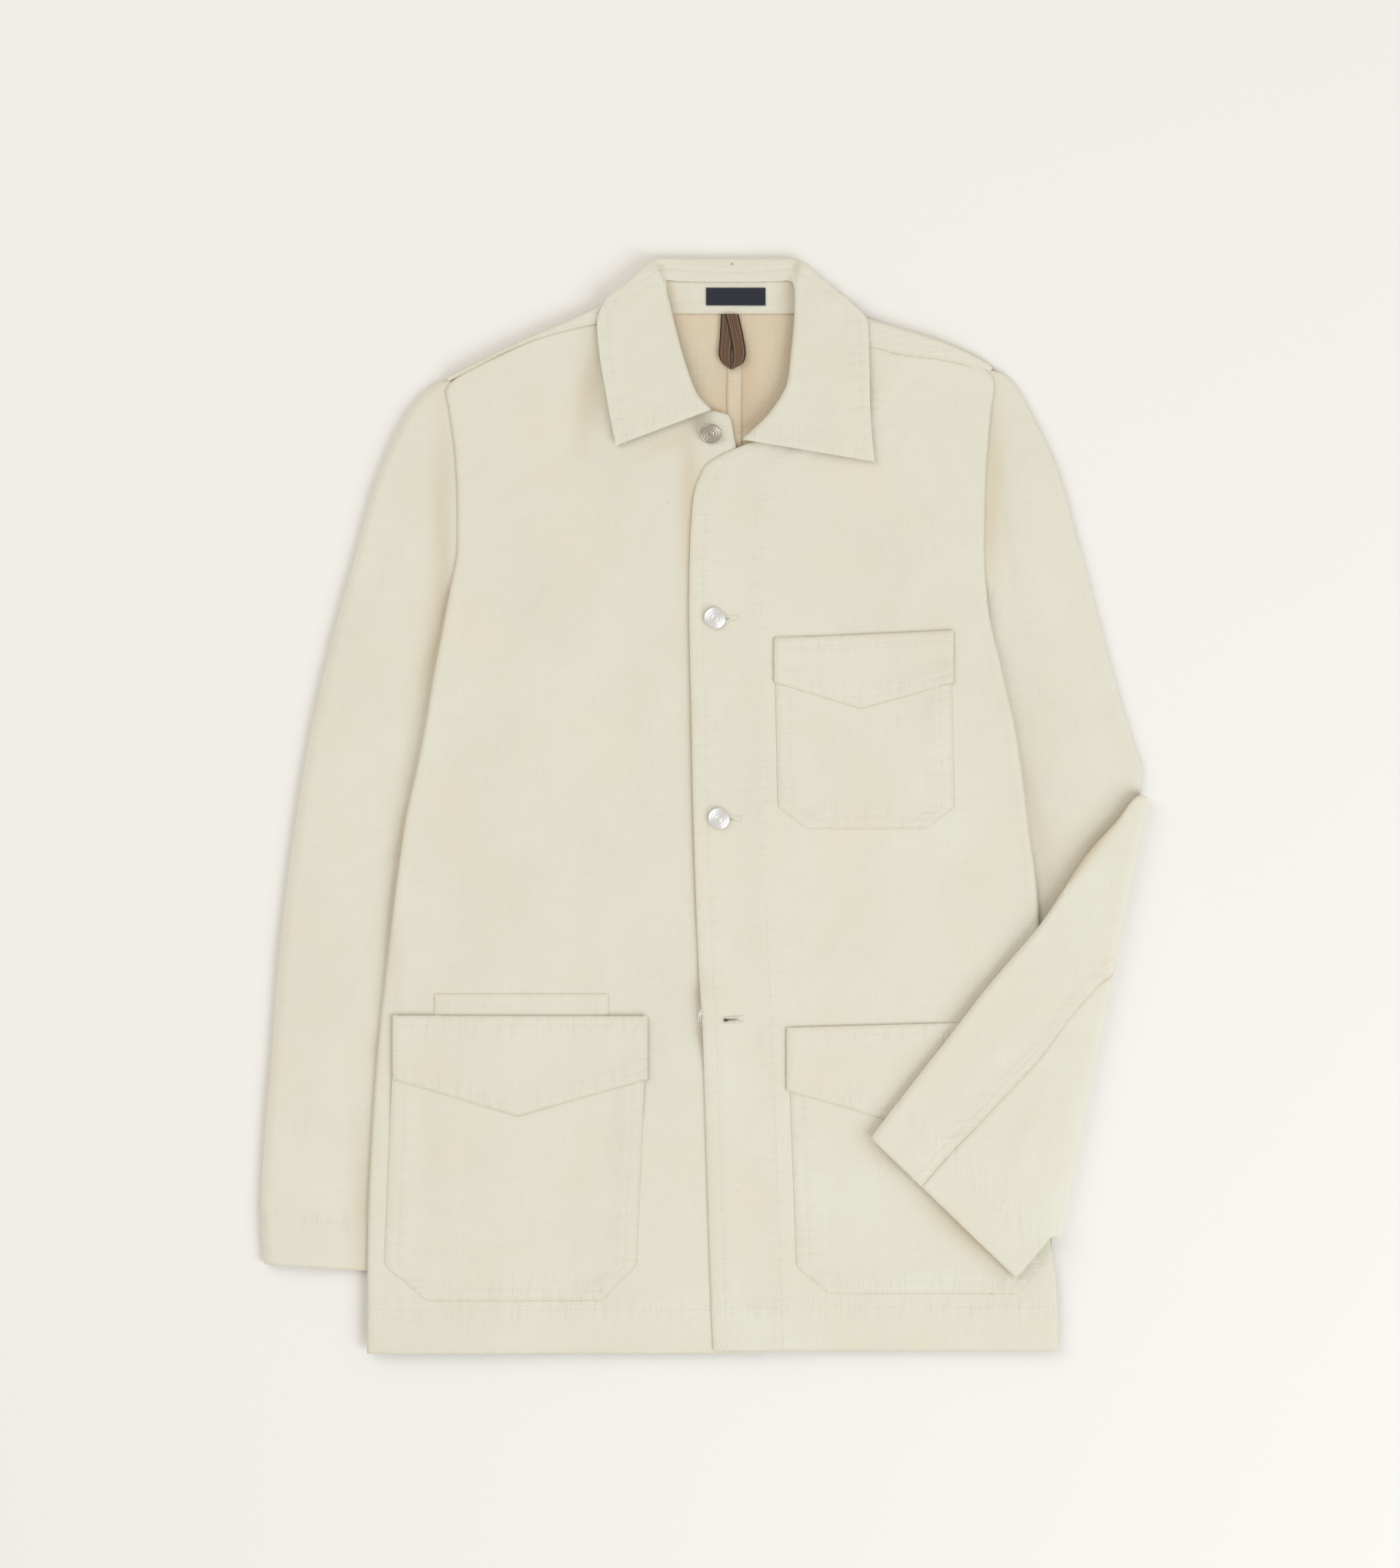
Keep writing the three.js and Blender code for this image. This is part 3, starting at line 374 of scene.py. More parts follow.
# Sleeve rows run from the outer edge to the inner edge: outer x, y, inner x, y, and where the
# hind-arm seam crosses the row, as a share of its width
SLEEVE_RIGHT_ROWS = [
    (-222, 287, -190.5, 138, 0.33), (-245, 235, -189.5, 128, 0.37), (-259, 185, -177, 99, 0.4),
    (-277, 120, -152, 55, 0.4), (-293, 50, -137, 10, 0.38), (-306, -30, -131, -45, 0.36),
    (-315.4, -107, -135, -115, 0.35), (-321, -180, -145, -185, 0.35), (-326, -240, -158, -250, 0.35),
    (-329, -300, -171, -310, 0.35), (-327, -339, -179, -349, 0.35),
]
SLEEVE_LEFT_ROWS = [
    (243, 288, 207.5, 138, 0.33), (260, 252, 208, 128, 0.36), (276, 196, 196, 98, 0.38),
    (293.5, 130, 178, 60, 0.4), (306.5, 82, 163, 10, 0.41), (317, 48, 168, -90, 0.42),
    (323, 28, 202, -190, 0.42),
]
FOLD_ROW = (321.5, 8, 256.5, -318, 0.42)
FLAP_ROWS = [
    (304, -11, 255, -318, 0.42), (284, -33, 252, -321, 0.42), (248, -86, 247, -327, 0.41),
    (210, -131, 242, -333, 0.4), (175, -176, 237, -339, 0.38), (146, -213, 232, -345, 0.36),
    (122, -245, 229, -348, 0.35),
]
FOLD_BULGE = 5.4
FLAP_FOLD_HEIGHT = 12.4
FLAP_CUFF_HEIGHT = 11.9
TOP_STEPS = [
    0.02, 0.04, 0.08, 0.12, 0.17, 0.22, 0.28, 0.34, 0.4, 0.47, 0.53, 0.6, 0.67, 0.74, 0.81, 0.88, 0.94, 1,
]
UNDER_STEPS = [0, 0.08, 0.18, 0.3, 0.45, 0.6, 0.76, 0.87, 0.95, 1]
ARMPIT_HIGH = 170


def straight_row(row):
    def at(share):
        share = np.asarray(share, float)
        return points(mix(row[0], row[2], share), mix(row[1], row[3], share))
    return at, row[4]


def armhole_rows(side):
    sign, edge = side["sign"], side["edge"]
    top = 315 if sign < 0 else 323
    rows = []
    for out, top_y, low_y in ((-8, top + 0.5, 152), (1.6, top - 1.6, 149), (10, top - 5, 144)):
        def at(share, out=out, top_y=top_y, low_y=low_y):
            y = mix(top_y, low_y, np.asarray(share, float))
            if out < 0:
                shift = mix(-5, out, smooth(ARMPIT_HIGH + 4, ARMPIT_HIGH + 26, y))
            else:
                shift = mix(out, -3 + 0.2 * out, smooth(ARMPIT_HIGH + 18, low_y, y))
            return points(edge(y) + sign * shift, y)
        rows.append((at, 0.3))
    return rows


def sleeve_heights(p, side):
    clear = side["sign"] * (p[..., 0] - side["edge"](p[..., 1]))
    in_body = smooth(154, ARMPIT_HIGH, p[..., 1]) * smooth(9, 2, clear)
    low = FLOOR + LAYER * in_body
    return low, low + TUBE + PUFF * smooth(3, 40, clear)


def sleeve_row(row, piece, heights):
    """Middle points of one sleeve row, for its top or its under piece."""
    at, seam_share = row
    ends = at([0.0, 1.0])
    width = np.linalg.norm(ends[1] - ends[0])
    inward = (ends[1] - ends[0]) / width
    low, high = (float(v[0]) for v in heights(ends))
    bulge = bulge_for(low, high)
    start = (bulge + WALL / 2) / width
    seam = (seam_share - start) / (1 - start)
    gap = SEAM_GAP / 2 / width

    def level(shares, which):
        p = at(mix(start, 1, np.asarray(shares)))
        p[..., 2] = heights(p)[which]
        return p
    if piece == "under":
        return level(mix(seam + gap, 1, np.array(UNDER_STEPS)), 0)
    under = level((seam - gap) * np.array([1, 0.85, 0.6, 0.2]), 0)
    turn = half_turn(at([start])[0], -inward, low, high, bulge)
    return np.concatenate([under, turn, level(TOP_STEPS, 1)])


def sleeve_right_grid(piece):
    side = SIDES["left"]
    rows = armhole_rows(side) + [straight_row(r) for r in SLEEVE_RIGHT_ROWS]
    return np.array([sleeve_row(r, piece, lambda p: sleeve_heights(p, side)) for r in rows])


def flat_heights(puff):
    def heights(p):
        level = np.zeros(p.shape[:-1])
        return level + FLOOR, level + FLOOR + TUBE + puff
    return heights


def sleeve_left_grid(piece):
    side = SIDES["right"]
    rows = armhole_rows(side) + [straight_row(r) for r in SLEEVE_LEFT_ROWS]
    grid = [sleeve_row(r, piece, lambda p: sleeve_heights(p, side)) for r in rows]
    outward = np.array([FOLD_ROW[1] - FOLD_ROW[3], FOLD_ROW[2] - FOLD_ROW[0], 0.0])
    outward /= np.linalg.norm(outward)
    middle = (FLAP_FOLD_HEIGHT + TUBE + FLOOR) / 2
    for a in np.pi * np.linspace(0, 1, 9):
        row = (*FOLD_ROW[:4], FOLD_ROW[4] - 0.012 * (np.pi - a))
        line = sleeve_row(straight_row(row), piece, flat_heights(0))
        level = middle - line[:, 2]
        p = line + np.outer(FOLD_BULGE * level / (middle - FLOOR) * np.sin(a), outward)
        p[:, 2] = middle - level * np.cos(a)
        grid.append(p)
    for i, row in enumerate(FLAP_ROWS):
        along = (i + 1) / len(FLAP_ROWS)
        puff = 2.2 * np.sin(np.pi * min(1, along * 0.9))
        upper = mix(2 * middle - FLOOR, FLAP_CUFF_HEIGHT + TUBE, along)
        p = sleeve_row(straight_row(row), piece, flat_heights(puff))
        p[:, 2] = upper + puff - (p[:, 2] - FLOOR)
        grid.append(p)
    return np.array(grid)


# Collar stand rows: neck x, y, roll x, y and what it lies on, or its height
STAND_ROWS = [
    (-12, 289.5, -3, 294, "right"), (-32, 295, -12, 307, "right"), (-46, 313, -19, 330, "right"),
    (-54, 335, -25, 350, "right"), (-57, 351, -28, 368, "right"), (-50, 363, -31, 383, 7.6),
    (-38, 365, -29, 389, 4.4), (-24, 364, -20, 390, 3.6), (20, 364, 20, 390.5, 3.6),
    (58, 364, 55, 391, 3.6), (74, 364, 65, 390, 4.4), (88, 359, 68, 383, 7),
    (95, 338, 68, 362, "left"), (91, 320, 66, 338, "left"), (82, 300, 62, 312, "left"),
    (68, 282, 52, 294, "left"), (50, 271, 36, 277, "left"),
]
# Collar fall rows: roll x, y, outer x, y, roll height, outer height
FALL_ROWS = [
    (3, 292, -66, 266, 10.6, 10), (-8, 305, -70, 285, 10.6, 10), (-16, 326, -74, 308, 10.6, 10),
    (-22, 347, -78, 332, 10.6, 10.1), (-27, 368, -80, 356, 10.6, 10.4), (-30, 381, -74, 373, 10.2, 10.4),
    (-30, 386, -60, 384, 9.6, 10), (-30.5, 387.4, -40.5, 400.6, 9.5, 9.2), (-28, 388.8, -34, 404, 5.3, 5.4),
    (-16, 388, -20, 403.6, 5.1, 5.3),
    (20, 387.5, 20, 401.5, 5.1, 5.1), (50, 388, 53, 403.6, 5.1, 5.3), (61, 388.6, 66, 404, 5.3, 5.4),
    (64.6, 387, 72.5, 400.6, 9.5, 9.2), (66, 385, 92, 384, 9.8, 9.6), (67, 378, 106, 373, 10.8, 10.4),
    (67, 362, 120, 356, 11.4, 10.4), (65, 338, 121, 328, 11.5, 10.3), (62, 313, 121.5, 298, 11.8, 10.2),
    (50, 291, 123, 273, 11.9, 10.2), (29, 270, 125, 254, 11.9, 10.2),
]
# The fall's back roll: x, y, height above, depth below, outward x and y
ROLL_ROWS = [
    (-71, 377, 10.4, 16, -0.45, 0.89), (-60, 384, 10, 24, -0.55, 0.83), (-42, 401, 8.6, 40, -0.5, 0.86),
    (-35, 405.5, 5.4, 48, -0.2, 1), (-20, 405.5, 5.2, 48, 0, 1), (20, 405.3, 5.1, 48, 0, 1),
    (56, 405.5, 5.2, 48, 0, 1), (67, 405, 5.4, 48, 0.25, 1), (74.5, 400.5, 8.6, 38, 0.5, 0.86),
    (91, 385, 9.4, 26, 0.5, 0.87), (107, 375, 10.4, 14, 0.5, 0.87),
]


def stand_grid():
    rows = []
    for nx, ny, rx, ry, on in STAND_ROWS:
        t = np.linspace(0, 1, 5)
        p = points(mix(nx, rx, t), mix(ny, ry, t))
        if isinstance(on, str):
            lap = LAYER * smooth(98, 48, p[..., 0]) if on == "left" else 0
            p[..., 2] = FRONT_FLAT + LAYER + lap
        else:
            p[..., 2] = on
        rows.append(p)
    return np.array(rows)


def fall_grid():
    """The collar's shown side, with its roll line turned down to meet the stand."""
    rows = []
    for rx, ry, ox, oy, roll_z, out_z in FALL_ROWS:
        t = np.array([-0.016, -0.014, 0.0, 0.03, 0.1, 0.2, 0.34, 0.56, 0.78, 0.92, 1])
        p = points(mix(rx, ox, t), mix(ry, oy, t))
        p[..., 2] = mix(roll_z, out_z, np.clip(t, 0, 1))
        p[:4, 2] += np.array([-2.6, -1.4, -0.35, -0.05]) * smooth(5.6, 8.5, roll_z)
        rows.append(p)
    return np.array(rows)


def roll_grid():
    rows = []
    for x, y, top, depth, ox, oy in ROLL_ROWS:
        out = np.array([ox, oy, 0.0])
        out /= np.linalg.norm(out)
        base = np.array([x, y, 0.0]) - out * TURN
        under = [base - out * depth * t + (0, 0, FLOOR) for t in (1, 0.5, 0.2)]
        over = [base - out * d + (0, 0, top) for d in (1.2, 3)]
        rows.append(np.array(under + list(half_turn(base, out, FLOOR, top, SHOULDER_BULGE)) + over))
    return np.array(rows)


# Patch pockets and their pointed facings, sewn down flat: drawn thinner and closer than free cloth
THIN = 0.8
CLOSE = 0.75


def straight(*rows):
    """A function through (at, value) rows with straight runs between them."""
    knots, values = zip(*sorted(rows))
    return lambda at: np.interp(at, knots, values)


CHEST_LEFT = straight((-17, 74), (0, 53.7), (125, 51))
CHEST_RIGHT = straight((-17, 164), (0, 184), (125, 181.5))
HIP_RIGHT_LEFT = straight((-366, -207), (-338, -237), (-270, -234.5), (-157, -229.5))
HIP_RIGHT_RIGHT = straight((-366, -76), (-338, -51), (-250, -47), (-157, -43))
HIP_LEFT_LEFT = straight((-361, 91), (-340, 67.5), (-165, 61))
HIP_LEFT_RIGHT = straight((-361, 232), (-340, 248), (-316, 242), (-165, 239))


def patch_grid(ys, left, right, height, layers, columns=16):
    rows = []
    for y in ys:
        x = mix(float(left(y)), float(right(y)), np.linspace(0, 1, columns + 1))
        rows.append(raised(x, y, height, LAYER * CLOSE * layers(y)))
    return np.array(rows)


def facing_grid(left, right, top, side_y, apex, height, layers):
    x = np.unique(np.concatenate([np.linspace(left, right, 21), [apex[0]]]))
    t = (x - left) / (right - left)
    low = np.where(x < apex[0], mix(side_y, apex[1], (x - left) / (apex[0] - left)),
                   mix(apex[1], side_y, (x - apex[0]) / (right - apex[0])))
    return np.array([raised(x, mix(low, mix(*top, t), v), height, LAYER * CLOSE * layers)
                     for v in np.linspace(0, 1, 7)])


# Mesh making

# The grid axis that each end of a cloth part closes
AXIS = {"start": 0, "end": 0, "near": 1, "far": 1}
SHARP_ANGLE = 55
# Depths, heights and widths of the relief along seams and edges, in millimetres
STITCH_DIP, STITCH_DIP_WIDTH = 0.3, 1.5
PUCKER_WIDTH = 9.0
EDGE_ROUND, EDGE_ROUND_WIDTH = 0.45, 1.3
# Width of the darker strip along each cut edge: partly edge wear, partly painted shade at the edge
EDGE_WEAR_AND_SHADE_WIDTH = 0.9
HEM_STEP = 0.45
STITCH_LIFT = 0.02


def new_object(name, data):
    piece = bpy.data.objects.new(name, data)
    bpy.context.scene.collection.objects.link(piece)
    return piece


def closed_mesh(middle, thick, attributes, parts, upper=0, lower=1):
    """A closed cloth wall round a fine grid of middle points; upper and lower are finishes."""
    half = normals(middle) * thick / 2
    m, k = middle.shape[:2]
    verts = np.concatenate([(middle + half).reshape(-1, 3), (middle - half).reshape(-1, 3)])
    a = (np.arange(m - 1)[:, None] * k + np.arange(k - 1)).ravel()
    quads = np.stack([a, a + 1, a + k + 1, a + k], axis=1)

    def rim(line):
        return np.stack([line[:-1], line[1:], line[1:] + m * k, line[:-1] + m * k], axis=1)
    row, column = np.arange(m) * k, np.arange(k)
    rims = [rim(row), rim(row + k - 1)[:, ::-1], rim(column)[:, ::-1], rim(column + (m - 1) * k)]
    faces = np.concatenate([quads, quads[:, [0, 3, 2, 1]] + m * k, *rims])
    finish = np.zeros(len(faces), dtype=np.int32)
    finish[:len(quads)] = upper
    finish[len(quads):2 * len(quads)] = lower
    parts.append((verts, faces, finish, {key: np.tile(v.ravel(), 2) for key, v in attributes.items()}))


def mesh_object(name, parts, materials):
    starts = np.cumsum([0] + [len(part[0]) for part in parts])
    verts = (np.concatenate([part[0] for part in parts]) + SHIFT) * MM
    faces = np.concatenate([part[1] + start for part, start in zip(parts, starts)])
    mesh = bpy.data.meshes.new(name)
    mesh.vertices.add(len(verts))
    mesh.vertices.foreach_set("co", verts.astype(np.float32).ravel())
    mesh.loops.add(faces.size)
    mesh.loops.foreach_set("vertex_index", faces.astype(np.int32).ravel())
    mesh.polygons.add(len(faces))
    mesh.polygons.foreach_set("loop_start", np.arange(0, faces.size, 4, dtype=np.int32))
    mesh.polygons.foreach_set("material_index", np.concatenate([part[2] for part in parts]))
    mesh.update(calc_edges=True)
    mesh.validate()
    for key in parts[0][3]:
        layer = mesh.attributes.new(key, "FLOAT", "POINT")
        layer.data.foreach_set("value", np.concatenate([part[3][key] for part in parts]).astype(np.float32))
    bm = bmesh.new()
    bm.from_mesh(mesh)
    bmesh.ops.recalc_face_normals(bm, faces=bm.faces)
    bm.to_mesh(mesh)
    bm.free()
    mesh.shade_smooth()
    mesh.set_sharp_from_angle(angle=np.radians(SHARP_ANGLE))
    for material in materials:
        mesh.materials.append(material)
    return new_object(name, mesh)


def row_line(surface, away, distance, begin, finish):
    """Points of one stitch row at a distance from an end, over a share of the end's length."""
    line = []
    for column in range(away.shape[1]):
        d = away[:, column]
        if begin <= column / (away.shape[1] - 1) <= finish and d.max() > distance:
            order = np.argsort(d)
            line.append([np.interp(distance, d[order], surface[order, column, c]) for c in range(3)])
    return np.array(line)


def cloth_part(grid, parts, lines, *, rows=(), hems=(), step=4.0, edge_step=1.2, edge_width=12.0, thick=WALL,
               folds=(), painted_shades=(), puckers=tuple(AXIS), outward=1, upper=0, lower=1):
    """One cut piece: its fine grid, folds, seam relief, hems and stitch lines.

    rows are (end, distance, start share, end share) of stitch rows along an edge; hems are
    (end, depth) of turned-up edges. Ends are start and end of the rows, near and far of the columns.
    """
    fine = finer(finer(grid, 0, step, edge_step, edge_width), 1, step, edge_step, edge_width)
    n = normals(fine)
    flipped = n[int(0.4 * len(n)), -3, 2] * outward < 0
    if flipped:
        fine, n = fine[:, ::-1], -n[:, ::-1]
    away = dict(zip(AXIS, reach(fine, 0) + reach(fine, 1)))
    if flipped:
        away["near"], away["far"] = away["far"], away["near"]
    mask = smooth(0.2, 0.7, n[..., 2])
    height = relief(fine, folds) * mask
    edge = np.zeros(fine.shape[:2])
    pulled = [edge, edge]
    for end, distance, _, _ in rows:
        from_row = away[end] - distance
        height -= STITCH_DIP * np.exp(-((from_row / STITCH_DIP_WIDTH) ** 2)) * mask
        pulled[AXIS[end]] = np.maximum(pulled[AXIS[end]], np.exp(-((from_row / PUCKER_WIDTH) ** 2)))
    for end in puckers:
        edge = np.maximum(edge, np.exp(-away[end] / EDGE_WEAR_AND_SHADE_WIDTH))
        height -= EDGE_ROUND * np.exp(-((away[end] / EDGE_ROUND_WIDTH) ** 2)) * mask
    for end, depth in hems:
        height += HEM_STEP * smooth(depth + 1.0, depth - 1.5, away[end]) * mask
    fine = fine + n * height[..., None]
    # The last mask marks warm shade painted into the cloth's colour where one cloth lies over the next
    masks = {"pucker_rows": pulled[1] * mask, "pucker_columns": pulled[0] * mask, "edge": edge * mask,
             "painted_shade": np.clip(relief(fine, painted_shades), 0, 1) * mask}
    closed_mesh(fine, thick, masks, parts, upper, lower)
    surface = fine + n * (thick / 2 + STITCH_LIFT)
    for end, distance, begin, finish in rows:
        order = (AXIS[end], 1 - AXIS[end])
        line = row_line(surface.transpose(*order, 2), away[end].transpose(order), distance, begin, finish)
        if len(line) > 1:
            lines.append(line)
    return fine


# Node trees

class Graph:
    """Short ways to add nodes to a tree. An input is a plain value or another node's output."""

    def __init__(self, tree):
        self.tree = tree

    def add(self, kind, inputs, **settings):
        node = self.tree.nodes.new(kind)
        for key, value in settings.items():
            setattr(node, key, value)
        for key, value in inputs.items():
            if isinstance(value, bpy.types.NodeSocket):
                self.tree.links.new(value, node.inputs[key])
            else:
                node.inputs[key].default_value = value
        return node.outputs

    def place(self):
        return self.add("ShaderNodeTexCoord", {})["Object"]

    def attribute(self, name):
        return self.add("ShaderNodeAttribute", {}, attribute_name=name)["Fac"]

    def math(self, operation, *values, clamp=False):
        inputs = dict(enumerate(values))
        return self.add("ShaderNodeMath", inputs, operation=operation, use_clamp=clamp)["Value"]

    def noise(self, place, scale, detail=2.0, rough=0.5):
        inputs = {"Vector": place, "Scale": scale, "Detail": detail, "Roughness": rough}
        return self.add("ShaderNodeTexNoise", inputs)["Fac"]

    def streaks(self, place, scale, detail=2.0):
        """Noise stretched by a scale for each axis."""
        stretched = self.add("ShaderNodeMapping", {"Vector": place, "Scale": scale})["Vector"]
        return self.noise(stretched, 1.0, detail)

    def bump(self, height, strength, distance, **more):
        inputs = {"Height": height, "Strength": strength, "Distance": distance, **more}
        return self.add("ShaderNodeBump", inputs)["Normal"]

    def blend(self, share, colour, other):
        return self.add("ShaderNodeMix", {0: share, 6: colour, 7: (*other, 1)}, data_type="RGBA")[2]

    def ramp(self, value, stops):
        colours = self.add("ShaderNodeValToRGB", {"Fac": value})["Color"]
        elements = colours.node.color_ramp.elements
        while len(elements) < len(stops):
            elements.new(0.5)
        for element, (position, colour) in zip(elements, stops):
            element.position = position
            element.color = (*colour, 1)
        return colours

    def group(self, name, inputs):
        return self.add("ShaderNodeGroup", inputs, node_tree=shared_group(name))


def new_group(name, kind, inputs, outputs):
    """A node group's graph and its given inputs; sockets are (label, kind)."""
    tree = bpy.data.node_groups.new(name, kind)
    for direction, sockets in (("INPUT", inputs), ("OUTPUT", outputs)):
        for label, socket_kind in sockets:
            tree.interface.new_socket(label, in_out=direction, socket_type="NodeSocket" + socket_kind)
    graph = Graph(tree)
    return graph, graph.add("NodeGroupInput", {})


STITCH_SIZES = ("Spacing", "Length", "Width", "Height")


def stitch_group():
    """One bead of thread at each step along the seam lines."""
    sizes = [(label, "Float") for label in STITCH_SIZES]
    graph, given = new_group("Sewn stitches", "GeometryNodeTree", [
        ("Seam lines", "Geometry"), *sizes, ("Thread", "Material")], [("Stitches", "Geometry")])
    path = graph.add("GeometryNodeResampleCurve", {"Curve": given["Seam lines"], "Length": given["Spacing"]},
                     mode="LENGTH")
    bead = graph.add("GeometryNodeMeshIcoSphere", {"Radius": 0.5, "Subdivisions": 1})
    tangent = graph.add("GeometryNodeInputTangent", {})
    turn = graph.add("FunctionNodeAlignRotationToVector", {"Vector": tangent["Tangent"]}, axis="X")
    size = graph.add("ShaderNodeCombineXYZ", dict(X=given["Length"], Y=given["Width"], Z=given["Height"]))
    placed = graph.add("GeometryNodeInstanceOnPoints", {
        "Points": path["Curve"], "Instance": bead["Mesh"], "Rotation": turn["Rotation"],
        "Scale": size["Vector"]})
    real = graph.add("GeometryNodeRealizeInstances", {"Geometry": placed["Instances"]})
    dyed = graph.add("GeometryNodeSetMaterial", {"Geometry": real["Geometry"], "Material": given["Thread"]})
    graph.add("NodeGroupOutput", {"Stitches": dyed["Geometry"]})
    return graph.tree


def weave_group():
    """Plain weave of warp and weft with uneven threads: height, thread tone and fleck mask."""
    graph, given = new_group(
        "Plain weave", "ShaderNodeTree", [("Place", "Vector"), ("Threads per metre", "Float")],
        [(label, "Float") for label in ("Height", "Tone", "Fleck")])
    place = given["Place"]
    axes = graph.add("ShaderNodeSeparateXYZ", {"Vector": place})
    waves = []
    for axis in "XY":
        turns = graph.math("MULTIPLY", axes[axis], given["Threads per metre"])
        waves.append(graph.math("SINE", graph.math("MULTIPLY", turns, float(np.pi))))
    both = graph.math("ADD", graph.streaks(place, (900, 45, 300)), graph.streaks(place, (40, 900, 300)))
    slubs = graph.math("SUBTRACT", both, 1.0)
    fleck = graph.add("ShaderNodeTexVoronoi", {"Vector": place, "Scale": 75}, feature="F1")
    chance = graph.add("ShaderNodeSeparateColor", {"Color": fleck["Color"]})
    rare = graph.math("GREATER_THAN", chance["Red"], 0.74)
    small = graph.math("LESS_THAN", fleck["Distance"], graph.math("MULTIPLY", chance["Green"], 0.034))
    graph.add("NodeGroupOutput", {
        "Height": graph.math("MULTIPLY_ADD", graph.math("MULTIPLY", *waves), 0.3, slubs),
        "Tone": graph.math("MULTIPLY", slubs, 0.6), "Fleck": graph.math("MULTIPLY", rare, small)})
    return graph.tree


def crumple_group():
    """Handled-cloth unevenness: broad dents, fine crumples, and puckers along seams."""
    graph, given = new_group("Handled cloth", "ShaderNodeTree", [("Place", "Vector")],
                             [("Height", "Float"), ("Edge wear and shade", "Float")])
    place = given["Place"]
    total = graph.math("MULTIPLY_ADD", graph.noise(place, 48, 3.0), 0.25, graph.noise(place, 16, 3.0))
    for mask, scale in (("pucker_rows", (35, 150, 60)), ("pucker_columns", (150, 35, 60))):
        swell = graph.math("MULTIPLY", graph.attribute(mask), graph.streaks(place, scale))
        total = graph.math("MULTIPLY_ADD", swell, 0.75, total)
    # Darkening along each cut edge: partly edge wear, partly painted shade
    wear_and_shade = graph.math("MULTIPLY", graph.attribute("edge"), graph.noise(place, 220))
    graph.add("NodeGroupOutput", {"Height": total, "Edge wear and shade": wear_and_shade})
    return graph.tree


GROUPS = {"Sewn stitches": stitch_group, "Plain weave": weave_group, "Handled cloth": crumple_group}


def shared_group(name):
    return bpy.data.node_groups.get(name) or GROUPS[name]()


def sew(name, lines, *sizes):
    """Stitches along lines of points in millimetres, as one plain mesh that rides on the jacket.

    sizes are the spacing, length, width and height of a stitch in metres.
    """
    path = bpy.data.curves.new(name + "_path", "CURVE")
    path.dimensions = "3D"
    for line in lines:
        spline = path.splines.new("POLY")
        spline.points.add(len(line) - 1)
        placed = (np.asarray(line) + SHIFT) * MM
        spline.points.foreach_set("co", np.column_stack([placed, np.ones(len(placed))]).ravel())
    holder = new_object(name + "_path", path)
    modifier = holder.modifiers.new("Sewn stitches", "NODES")
    modifier.node_group = shared_group("Sewn stitches")
    ids = {item.name: item.identifier for item in modifier.node_group.interface.items_tree
           if item.in_out == "INPUT"}
    for label, value in zip((*STITCH_SIZES, "Thread"), (*sizes, finish_named("thread"))):
        modifier[ids[label]] = value
    bpy.context.view_layer.update()
    evaluated = holder.evaluated_get(bpy.context.evaluated_depsgraph_get())
    mesh = bpy.data.meshes.new_from_object(evaluated)
    mesh.name = name
    holder.modifiers.remove(modifier)
    bpy.data.objects.remove(holder)
    bpy.data.curves.remove(path)
    mesh.shade_smooth()
    piece = new_object(name, mesh)
    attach(piece, "root")


# Finishes, each as the inputs of its material's shader

THREADS = 1250
LABEL_THREADS = 3200
FLECK = (0.3, 0.19, 0.1)


def shade(colour, *factors):
    return tuple(c * k for c, k in zip(colour, factors))


def canvas_finish(graph, light, dark):
    """Heavy undyed canvas: two close tones by thread, sparse flecks, matt, with soft crumples."""
    place = graph.place()
    weave = graph.group("Plain weave", {"Place": place, "Threads per metre": THREADS})
    handled = graph.group("Handled cloth", {"Place": place})
    tone = graph.math("MULTIPLY_ADD", weave["Tone"], 0.9, graph.noise(place, 9, 3.0, 0.6), clamp=True)
    colour = graph.ramp(tone, [(0.15, dark), (0.85, light)])
    patches = graph.math("MULTIPLY_ADD", graph.noise(place, 13, 3.0, 0.6), 3.0, -1.25, clamp=True)
    # A thin darker warm strip along each cut edge: partly edge wear, partly painted shade
    worn_and_shaded = graph.math("MULTIPLY", handled["Edge wear and shade"], 0.9, clamp=True)
    for share, other in ((graph.math("MULTIPLY", patches, 0.5), shade(light, 0.99, 0.92, 0.85)),
                         (weave["Fleck"], FLECK), (worn_and_shaded, shade(dark, 0.8, 0.7, 0.58)),
                         # Painted warm shade where one cloth lies over the next
                         (graph.attribute("painted_shade"), shade(light, 0.87, 0.78, 0.69))):
        colour = graph.blend(share, colour, other)
    soft = graph.bump(handled["Height"], 0.8, 0.0028)
    return {"Base Color": colour, "Roughness": 0.92, "Specular IOR Level": 0.25, "Sheen Weight": 0.12,
            "Sheen Roughness": 0.6, "Normal": graph.bump(weave["Height"], 0.45, 0.00022, Normal=soft)}


def thread_finish(graph, colour):
    tone = graph.noise(graph.place(), 700, 1.0)
    return {"Base Color": graph.ramp(tone, [(0.3, shade(colour, 0.86, 0.86, 0.86)), (0.7, colour)]),
            "Roughness": 0.75, "Sheen Weight": 0.1}


def label_finish(graph):
    weave = graph.group("Plain weave", {"Place": graph.place(), "Threads per metre": LABEL_THREADS})
    tone = graph.math("MULTIPLY_ADD", weave["Tone"], 0.5, 0.5, clamp=True)
    return {"Base Color": graph.ramp(tone, [(0.2, (0.009, 0.011, 0.02)), (0.8, (0.018, 0.022, 0.036))]),
            "Roughness": 0.8, "Sheen Weight": 0.06, "Normal": graph.bump(weave["Height"], 0.5, 0.00015)}


